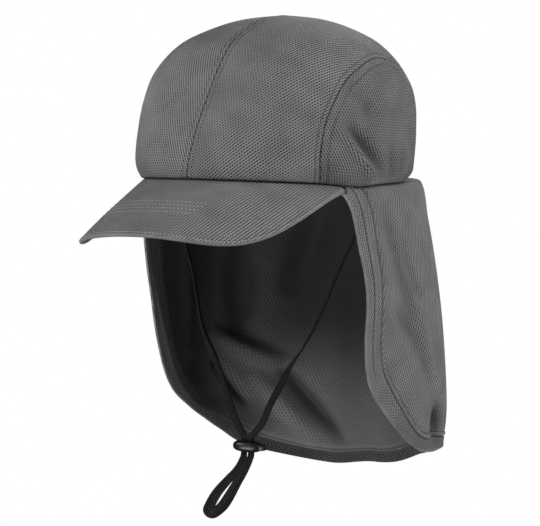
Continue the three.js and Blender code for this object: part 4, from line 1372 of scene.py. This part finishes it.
def stitches(name, rows, thread, step=STITCH_STEP, length=STITCH_LENGTH, thickness=THREAD):
    """One object of stitches from rows, each a line of points and the normals there."""
    points = np.concatenate([line for line, _ in rows])
    normals = np.concatenate([normal for _, normal in rows])
    pairs, first = [], 0
    for line, _ in rows:
        pairs += [(first + i, first + i + 1) for i in range(len(line) - 1)]
        first += len(line)
    mesh = bpy.data.meshes.new(name)
    mesh.from_pydata(points.tolist(), pairs, [])
    mesh.attributes.new(OUTWARD, "FLOAT_VECTOR", "POINT").data.foreach_set("vector", normals.reshape(-1))
    guide = link(bpy.data.objects.new(name + " guide", mesh))
    modifier = guide.modifiers.new("stitches", "NODES")
    modifier.node_group = STITCHING
    sizes = {"Step": step, "Length": length, "Thickness": thickness, "Thread": thread}
    for socket in STITCHING.interface.items_tree:
        if socket.item_type == "SOCKET" and socket.in_out == "INPUT" and socket.name in sizes:
            modifier[socket.identifier] = sizes[socket.name]
    made = bpy.data.meshes.new_from_object(guide.evaluated_get(bpy.context.evaluated_depsgraph_get()))
    bpy.data.objects.remove(guide)
    return finished(name, made)


def shifted(surface, a, b, distance, steps, facing):
    """A line on a surface moved sideways along it by a distance, as its two numbers."""
    tangent = unit(np.gradient(surface(a, b), axis=0))
    wanted = np.cross(normal_of(surface, a, b, steps, facing), tangent) * distance
    da = (surface(a + steps[0], b) - surface(a - steps[0], b)) / (2 * steps[0])
    db = (surface(a, b + steps[1]) - surface(a, b - steps[1])) / (2 * steps[1])
    aa, ab, bb = (da * da).sum(1), (da * db).sum(1), (db * db).sum(1)
    wa, wb = (wanted * da).sum(1), (wanted * db).sum(1)
    fixed = aa * bb - ab * ab
    return a + (wa * bb - wb * ab) / fixed, b + (wb * aa - wa * ab) / fixed


# %% Rows on the crown
ROW_SINK = ROW_DEPTH - 0.1 * MM  # how deep the threads lie in their channel
MIDDLE_ENDS, ARCH_ENDS = 0.985, (0.012, 0.988)
MIDDLE_ROW_POINTS, ARCH_ROW_POINTS = 500, 400


def dome_row(x, y, swell=0.0):
    normal = crown_normal(x, y)
    return on_dome(x, y) + normal * (swell - ROW_SINK), normal


crown_rows = []
for side in (1, -1):
    x = np.full(MIDDLE_ROW_POINTS, side * SEAM_ROW / CROWN_REACH)
    crown_rows.append(dome_row(x, np.linspace(MIDDLE_ENDS, -MIDDLE_ENDS, MIDDLE_ROW_POINTS)))
    x, y = flat(*arch_at(np.linspace(*ARCH_ENDS, ARCH_ROW_POINTS)))
    for distance in (SEAM_ROW, -ARCH_ROW):
        moved = shifted(on_dome, side * x, y, distance * side, CROWN_STEPS, -1)
        swell = SIDE_SWELL * ease(0, SWELL_REACHES[0], ARCH_ROW) if distance < 0 else 0.0
        crown_rows.append(dome_row(*moved, swell))
crown_stitches = stitches("crown_stitches", crown_rows, dark_thread)

# %% Rows on the peak
PEAK_STEPS = (2 * RUN_STEP, 2 * RUN_STEP)
PEAK_ROWS_FROM, PEAK_ROWS_TO, RIM_ENDS = -0.55, 0.28, 0.985  # places across it
PEAK_SINK, RIM_SINK = 0.1 * MM, 0.12 * MM
PEAK_STITCH_STEP, PEAK_STITCH = 2.6 * MM, 2.0 * MM
PEAK_ROW_POINTS, RIM_ROW_POINTS = 300, 600


def peak_row(u, t, sink):
    normal = normal_of(on_peak, u, t, PEAK_STEPS, 1)
    normal *= np.sign(normal[:, 2:3])
    return on_peak(u, t) - normal * sink, normal


u = np.linspace(PEAK_ROWS_FROM, PEAK_ROWS_TO, PEAK_ROW_POINTS)
peak_rows = [peak_row(u, np.full(PEAK_ROW_POINTS, row), PEAK_SINK) for row in PEAK_ROWS]
rim = np.linspace(-RIM_ENDS, RIM_ENDS, RIM_ROW_POINTS)
reach = np.linalg.norm(on_peak(rim, np.ones_like(rim)) - on_peak(rim, np.zeros_like(rim)), axis=1)
peak_rows.append(peak_row(rim, 1 - PEAK_EDGE_ROW / reach, RIM_SINK))
peak_stitches = stitches("peak_stitches", peak_rows, pale_thread, PEAK_STITCH_STEP, PEAK_STITCH)

# %% Rows on the cape
HEM_ROW_START, HEM_ROW_SINK = 0.42, 0.25 * MM
INSIDE_START = 20 / 699  # the row inside begins under the crown's edge
HEM_POINTS, INSIDE_POINTS = 400, 680


def cape_row(side, along, depth, lift):
    angle, run = inset(side, along, depth)
    angle = side * np.minimum(angle, BACK_ANGLE)
    normal = cape_normal(angle, run)
    return cape(angle, run) + normal * lift, normal


cape_rows = []
for side in (1, -1):
    lower = np.linspace(HEM_ROW_START, 1.0, HEM_POINTS)
    cape_rows.append(cape_row(side, lower, band_width(lower) + SECOND_WELT[1], -HEM_ROW_SINK))
    whole = np.linspace(INSIDE_START, 1.0, INSIDE_POINTS)
    inside_line, inside_normal = cape_row(side, whole, band_width(whole) + INSIDE_ROW, -CLOTH)
    cape_rows.append((inside_line, -inside_normal))
cape_stitches = stitches("cape_stitches", cape_rows, dark_thread)

# %% [markdown]
# ## The chin cord
# The cord is a thin flat braid. It leaves the crown's edge over one ear, goes through the lock and round
# the loop below it, and comes back up to the other ear. It twists as it hangs, so it shows its edge in
# some places and its flat side in others. It is swept along one given line, with a table for how
# far it has turned.

# %% Route of the cord
CORD_WIDTH = 4.9 * MM
CORD_THICKNESS = 1.5 * MM
CORD_ROUTE = [
    (-0.0806, -0.0008, -0.00265),
    (-0.0736, -0.0065, -0.024),
    (-0.0667, -0.0112, -0.0437),
    (-0.057, -0.0157, -0.0653),
    (-0.0477, -0.0209, -0.094),
    (-0.0413, -0.0233, -0.1072),
    (-0.0349, -0.025, -0.117),
    (-0.0271, -0.0273, -0.1301),
    (-0.0202, -0.0295, -0.1431),
    (-0.0126, -0.0321, -0.158),
    (-0.0048, -0.0344, -0.1684),
    (-0.00235, -0.03486, -0.173),
    (-0.00235, -0.03486, -0.183),
    (-0.0034, -0.0353, -0.1874),
    (-0.0058, -0.036, -0.1925),
    (-0.0093, -0.0364, -0.197),
    (-0.0137, -0.0367, -0.2015),
    (-0.0231, -0.0373, -0.2118),
    (-0.0295, -0.0375, -0.2221),
    (-0.03, -0.0375, -0.2252),
    (-0.0275, -0.0374, -0.2269),
    (-0.0241, -0.0373, -0.2252),
    (-0.0179, -0.037, -0.2197),
    (-0.0124, -0.0367, -0.2119),
    (-0.0071, -0.0362, -0.2033),
    (-0.0024, -0.0354, -0.1957),
    (0.001, -0.034, -0.1881),
    (0.00235, -0.03314, -0.183),
    (0.00235, -0.03314, -0.173),
    (0.0056, -0.033, -0.1682),
    (0.0112, -0.0324, -0.1612),
    (0.0161, -0.031, -0.1495),
    (0.0235, -0.0287, -0.135),
    (0.0301, -0.0266, -0.122),
    (0.0396, -0.0241, -0.1075),
    (0.05, -0.0204, -0.0864),
    (0.0612, -0.0146, -0.0555),
    (0.0685, -0.0112, -0.0387),
    (0.0742, -0.0065, -0.022),
    (0.0806, -0.0008, -0.00265),
]
# point: place in the route, turn: degrees from showing its flat side, wide: share of its width
CORD_TURNS = table(
    "point turn wide",
    [
        (0, 70, 1.0),
        (2, 68, 1.0),
        (4, 62, 1.0),
        (5.5, 45, 1.0),
        (6.5, 12, 1.0),
        (8, 5, 1.0),
        (10, 8, 0.96),
        (11, 10, 0.9),
        (12, 10, 0.9),
        (13.5, 5, 1.0),
        (16, 0, 1.2),
        (17.5, 0, 1.45),
        (19, 5, 1.4),
        (20, 10, 1.2),
        (21, 5, 1.4),
        (22.5, 0, 1.5),
        (24, 0, 1.25),
        (26, 0, 1.0),
        (27, 0, 0.9),
        (28, 0, 0.9),
        (29, 12, 0.92),
        (30.5, 25, 1.0),
        (32, 15, 1.0),
        (33, 60, 1.0),
        (33.6, 84, 1.0),
        (35, 74, 1.0),
        (39, 72, 1.0),
    ],
)


def smooth_line(points, steps):
    """A curve through points, and the place of each of its own points among them."""
    points = np.array(points)
    ends = np.concatenate([[2 * points[0] - points[1]], points, [2 * points[-1] - points[-2]]])
    place = np.linspace(0, len(points) - 1, steps)
    i = np.minimum(place.astype(int), len(points) - 2)
    t = (place - i)[:, None]
    a, b, c, d = (ends[i + k] for k in range(4))
    line = 0.5 * (2 * b + (c - a) * t + (2 * a - 5 * b + 4 * c - d) * t**2 + (3 * b - a - 3 * c + d) * t**3)
    return line, place


# %% Braid of the cord
CORD_RINGS, CORD_SIDES = 901, 20
BRAID_ROUGHNESS, BRAID_SHEEN = 0.5, 0.1
BRAID_SLANT, STRAND_STEP, COLUMN_STEP, COLUMN_HEIGHT = 0.75, 1.5, 1.2, 0.35
# painted shade and painted highlight: the braid is darker in its hollows and paler on its raised strands
BRAID_LOW, BRAID_HIGH = (0.002, 0.002, 0.002), (0.014, 0.014, 0.014)
BRAID_HEIGHTS, BRAID_RELIEF = (-1.1, 1.1), 0.25 * MM
FLAT_POWER, EDGE_POWER = 0.6, 0.9  # how square its section is across its width and its thickness


def braid_finish():
    material, tree, shader = new_material("black flat braid", BRAID_ROUGHNESS, BRAID_SHEEN)
    _, x, y = cloth_map(tree)
    aside = number(tree, "ABSOLUTE", x)
    chevron = number(tree, "MULTIPLY_ADD", aside, BRAID_SLANT, y)
    strand = number(tree, "SINE", number(tree, "MULTIPLY", chevron, 2 * np.pi / STRAND_STEP))
    columns = number(tree, "SINE", number(tree, "MULTIPLY", aside, 2 * np.pi / COLUMN_STEP))
    height = number(tree, "MULTIPLY_ADD", columns, COLUMN_HEIGHT, strand)
    # painted shade in the hollows and painted highlight on the raised strands, from the bump's height
    shade = ramp(tree, height, *BRAID_HEIGHTS)
    tree.links.new(blend(tree, shade, BRAID_LOW, BRAID_HIGH), shader.inputs["Base Color"])
    bump(tree, shader, height, BRAID_RELIEF, 1.0)
    return material


def braid_sides(line, place):
    """The directions of the braid's width and of its thickness along its line."""
    tangent = unit(np.gradient(line, axis=0))
    across = unit(np.cross(tangent, np.array(to_camera)))
    # the loop turns right round, so its width is kept on one hand
    for i in range(1, len(across)):
        if (across[i] * across[i - 1]).sum() < 0:
            across[i] *= -1
    turn = np.radians(column(CORD_TURNS, "point", "turn", place))[:, None]
    side = across * np.cos(turn) + np.cross(across, tangent) * np.sin(turn)
    return side, np.cross(side, tangent), tangent


def make_cord():
    line, place = smooth_line(CORD_ROUTE, CORD_RINGS)
    side, up, tangent = braid_sides(line, place)
    wide = CORD_WIDTH / 2 * column(CORD_TURNS, "point", "wide", place)[:, None]
    round_ = np.linspace(0, 2 * np.pi, CORD_SIDES, endpoint=False)
    x = np.sign(np.cos(round_)) * abs(np.cos(round_)) ** FLAT_POWER * wide
    y = np.sign(np.sin(round_)) * abs(np.sin(round_)) ** EDGE_POWER * CORD_THICKNESS / 2
    rings = line[:, None] + side[:, None] * x[..., None] + up[:, None] * y[None, :, None]
    index = np.arange(CORD_RINGS * CORD_SIDES).reshape(CORD_RINGS, CORD_SIDES)
    after = np.roll(index, -1, axis=1)
    faces = np.stack([index[:-1], after[:-1], after[1:], index[1:]], axis=-1).reshape(-1, 4).tolist()
    mesh = bpy.data.meshes.new("chin_braid")
    mesh.from_pydata(rings.reshape(-1, 3).tolist(), [], faces + [index[0, ::-1].tolist(), index[-1].tolist()])
    length = along_line(line)
    write_map(mesh, np.stack(np.broadcast_arrays(x / MM, length[:, None] / MM), -1).reshape(-1, 2))
    quarter = CORD_SIDES // 4
    if (np.cross(rings[:-1, 0] - line[:-1], rings[:-1, quarter] - line[:-1]) * tangent[:-1]).sum() < 0:
        mesh.flip_normals()
    print("cord length", length[-1].round(4))
    return finished("chin_braid", mesh, braid_finish()), line, float(length[-1])


cord, cord_line, cord_length = make_cord()

# %% [markdown]
# ## The cord lock
# The lock is a small moulded bean with a button at one end. Both strands go through a slot in it, and a
# spring pushes the button's own slot against them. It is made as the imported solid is, a squared egg with
# the slot and the bore cut out, but with many more faces and softened edges.

# %% Sizes and finish of the lock
LOCK_LENGTH, LOCK_DEPTH, LOCK_HEIGHT = 20 * MM, 11.5 * MM, 8 * MM
LOCK_POWER, PLUNGER_POWER = 2.7, 5.0
LOCK_TURN, LOCK_TILT = 20.0, 4.0
LOCK_PLACE = (0.0, -0.034, -0.178)
LOCK_WALL = 2 * MM
LOCK_SOFTENING, SOFTENING_TURNS, SHARP_ANGLE = 0.22 * MM, 2, 40.0
EGG_SEGMENTS, EGG_RINGS = 72, 40
PLUNGER_HEIGHT, PLUNGER_DEPTH = 4.4 * MM, 6.8 * MM
PLUNGER_NUB, PLUNGER_TRAVEL = 3.2 * MM, 2.2 * MM
FIT = 0.3 * MM
ROUND_CORD = 3.2 * MM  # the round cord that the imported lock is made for
STRANDS_HALF = (5 * MM + ROUND_CORD) / 2 + 2 * FIT
SLOT_HALF = ROUND_CORD / 2 + FIT
PLASTIC_ROUGHNESS, PLASTIC_SHINE = (0.28, 0.42), 0.5
PLASTIC_DARK, PLASTIC_PALE = (0.007, 0.007, 0.008), (0.012, 0.012, 0.013)
GRAIN_SCALE, GRAIN_DETAIL, CLOUD_SCALE = 1800.0, 3.0, 160.0
GRAIN_RANGE, GRAIN_RELIEF, GRAIN_STRENGTH = (0.3, 0.7), 0.03 * MM, 0.35


def plastic():
    material, tree, shader = new_material("satin black plastic", PLASTIC_ROUGHNESS[0], shine=PLASTIC_SHINE)
    place = tree.nodes.new("ShaderNodeTexCoord").outputs["Object"]
    grain = noise(tree, place, GRAIN_SCALE, GRAIN_DETAIL)
    cloud = noise(tree, place, CLOUD_SCALE)
    tree.links.new(blend(tree, cloud, PLASTIC_DARK, PLASTIC_PALE), shader.inputs["Base Color"])
    tree.links.new(ramp(tree, grain, *GRAIN_RANGE, *PLASTIC_ROUGHNESS), shader.inputs["Roughness"])
    bump(tree, shader, grain, GRAIN_RELIEF, GRAIN_STRENGTH)
    return material


# %% Lock and button


def egg(name, half, power, middle):
    """A squared egg of many faces."""
    shape = bmesh.new()
    bmesh.ops.create_uvsphere(shape, u_segments=EGG_SEGMENTS, v_segments=EGG_RINGS, radius=1.0)
    for vertex in shape.verts:
        sized = [abs(value / size) ** power for value, size in zip(vertex.co, half)]
        vertex.co = vertex.co * sum(sized) ** (-1 / power) + Vector((middle, 0, 0))
    mesh = bpy.data.meshes.new(name)
    shape.to_mesh(mesh)
    shape.free()
    return link(bpy.data.objects.new(name, mesh))


def block(low, high):
    corners = [(x, y, z) for x in (low[0], high[0]) for y in (low[1], high[1]) for z in (low[2], high[2])]
    mesh = bpy.data.meshes.new("cutter")
    faces = [(0, 1, 3, 2), (4, 6, 7, 5), (0, 4, 5, 1), (2, 3, 7, 6), (0, 2, 6, 4), (1, 5, 7, 3)]
    mesh.from_pydata(corners, [], faces)
    return link(bpy.data.objects.new("cutter", mesh))


def cut(piece, blocks, finish):
    """The piece with blocks cut out of it, its sharp edges softened, put in its place in the cap."""
    cutters = [block(*ends) for ends in blocks]
    for cutter in cutters:
        modifier = piece.modifiers.new("cut", "BOOLEAN")
        modifier.operation = "DIFFERENCE"
        modifier.solver = "EXACT"
        modifier.object = cutter
    soften = piece.modifiers.new("soften", "BEVEL")
    soften.width = LOCK_SOFTENING
    soften.segments = SOFTENING_TURNS
    soften.angle_limit = np.radians(SHARP_ANGLE)
    made = bpy.data.meshes.new_from_object(piece.evaluated_get(bpy.context.evaluated_depsgraph_get()))
    name = piece.name
    for used in cutters + [piece]:
        bpy.data.objects.remove(used)
    turned = Matrix.Rotation(np.radians(LOCK_TURN), 4, "Z") @ Matrix.Rotation(np.radians(LOCK_TILT), 4, "Y")
    made.transform(Matrix.Translation(LOCK_PLACE) @ turned)
    return finished(name, made, finish)


lock_half = (LOCK_LENGTH / 2, LOCK_DEPTH / 2, LOCK_HEIGHT / 2)
bore_start = -lock_half[0] + LOCK_WALL
rod_start, rod_end = bore_start + PLUNGER_TRAVEL + FIT, lock_half[0] + PLUNGER_NUB
bore = (
    (bore_start, -PLUNGER_DEPTH / 2 - FIT, -PLUNGER_HEIGHT / 2 - FIT),
    (LOCK_LENGTH, PLUNGER_DEPTH / 2 + FIT, PLUNGER_HEIGHT / 2 + FIT),
)
slot = ((-STRANDS_HALF, -SLOT_HALF, -LOCK_HEIGHT), (STRANDS_HALF, SLOT_HALF, LOCK_HEIGHT))
rod_slot = (slot[0], (STRANDS_HALF + PLUNGER_TRAVEL + FIT, SLOT_HALF, LOCK_HEIGHT))
black_plastic = plastic()
lock_body = cut(egg("lock_shell", lock_half, LOCK_POWER, 0.0), [bore, slot], black_plastic)
rod_half = ((rod_end - rod_start) / 2, PLUNGER_DEPTH / 2, PLUNGER_HEIGHT / 2)
rod = egg("lock_button", rod_half, PLUNGER_POWER, (rod_end + rod_start) / 2)
lock_button = cut(rod, [rod_slot], black_plastic)

# %% [markdown]
# ## Put together
# Each finished piece rides on the imported body that it belongs to, and stands for the solids that it
# replaces. The measures of the hanging cape's cloth alone are printed.

# %% Ride and replace
STANDS_FOR = [
    (crown_left, "root", "mesh_cloth", ["crown_left_panel"]),
    (crown_right, "root", "mesh_cloth", ["crown_right_panel"]),
    (side_left, "root", "mesh_cloth", ["side_left_panel"]),
    (side_right, "root", "mesh_cloth", ["side_right_panel"]),
    (peak, "root", "mesh_cloth", ["peak"]),
    (cape_cloth, "root", "mesh_cloth", ["neck_cape"]),
    (band_left, "root", "mesh_cloth", ["cape_left_band"]),
    (band_right, "root", "mesh_cloth", ["cape_right_band"]),
    (crown_stitches, "root", "mesh_cloth", []),
    (peak_stitches, "root", "mesh_cloth", []),
    (cape_stitches, "root", "mesh_cloth", []),
    (cord, "root", "cord_black", ["chin_cord"]),
    (lock_body, "root", "lock_black", ["cord_lock_body"]),
    (lock_button, "plunger", "lock_black", ["cord_lock_plunger"]),
]
for piece, body, slot_name, nodes in STANDS_FOR:
    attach(piece, body)
    if nodes:
        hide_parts(*nodes)

across = np.linalg.norm(np.diff(cape_base, axis=1), axis=-1).sum(axis=1)
down = np.linalg.norm(np.diff(cape_base, axis=0), axis=-1).sum(axis=0)
print("cape measured", across.max().round(4), down.max().round(4), face_areas(cape_base).sum().round(4))
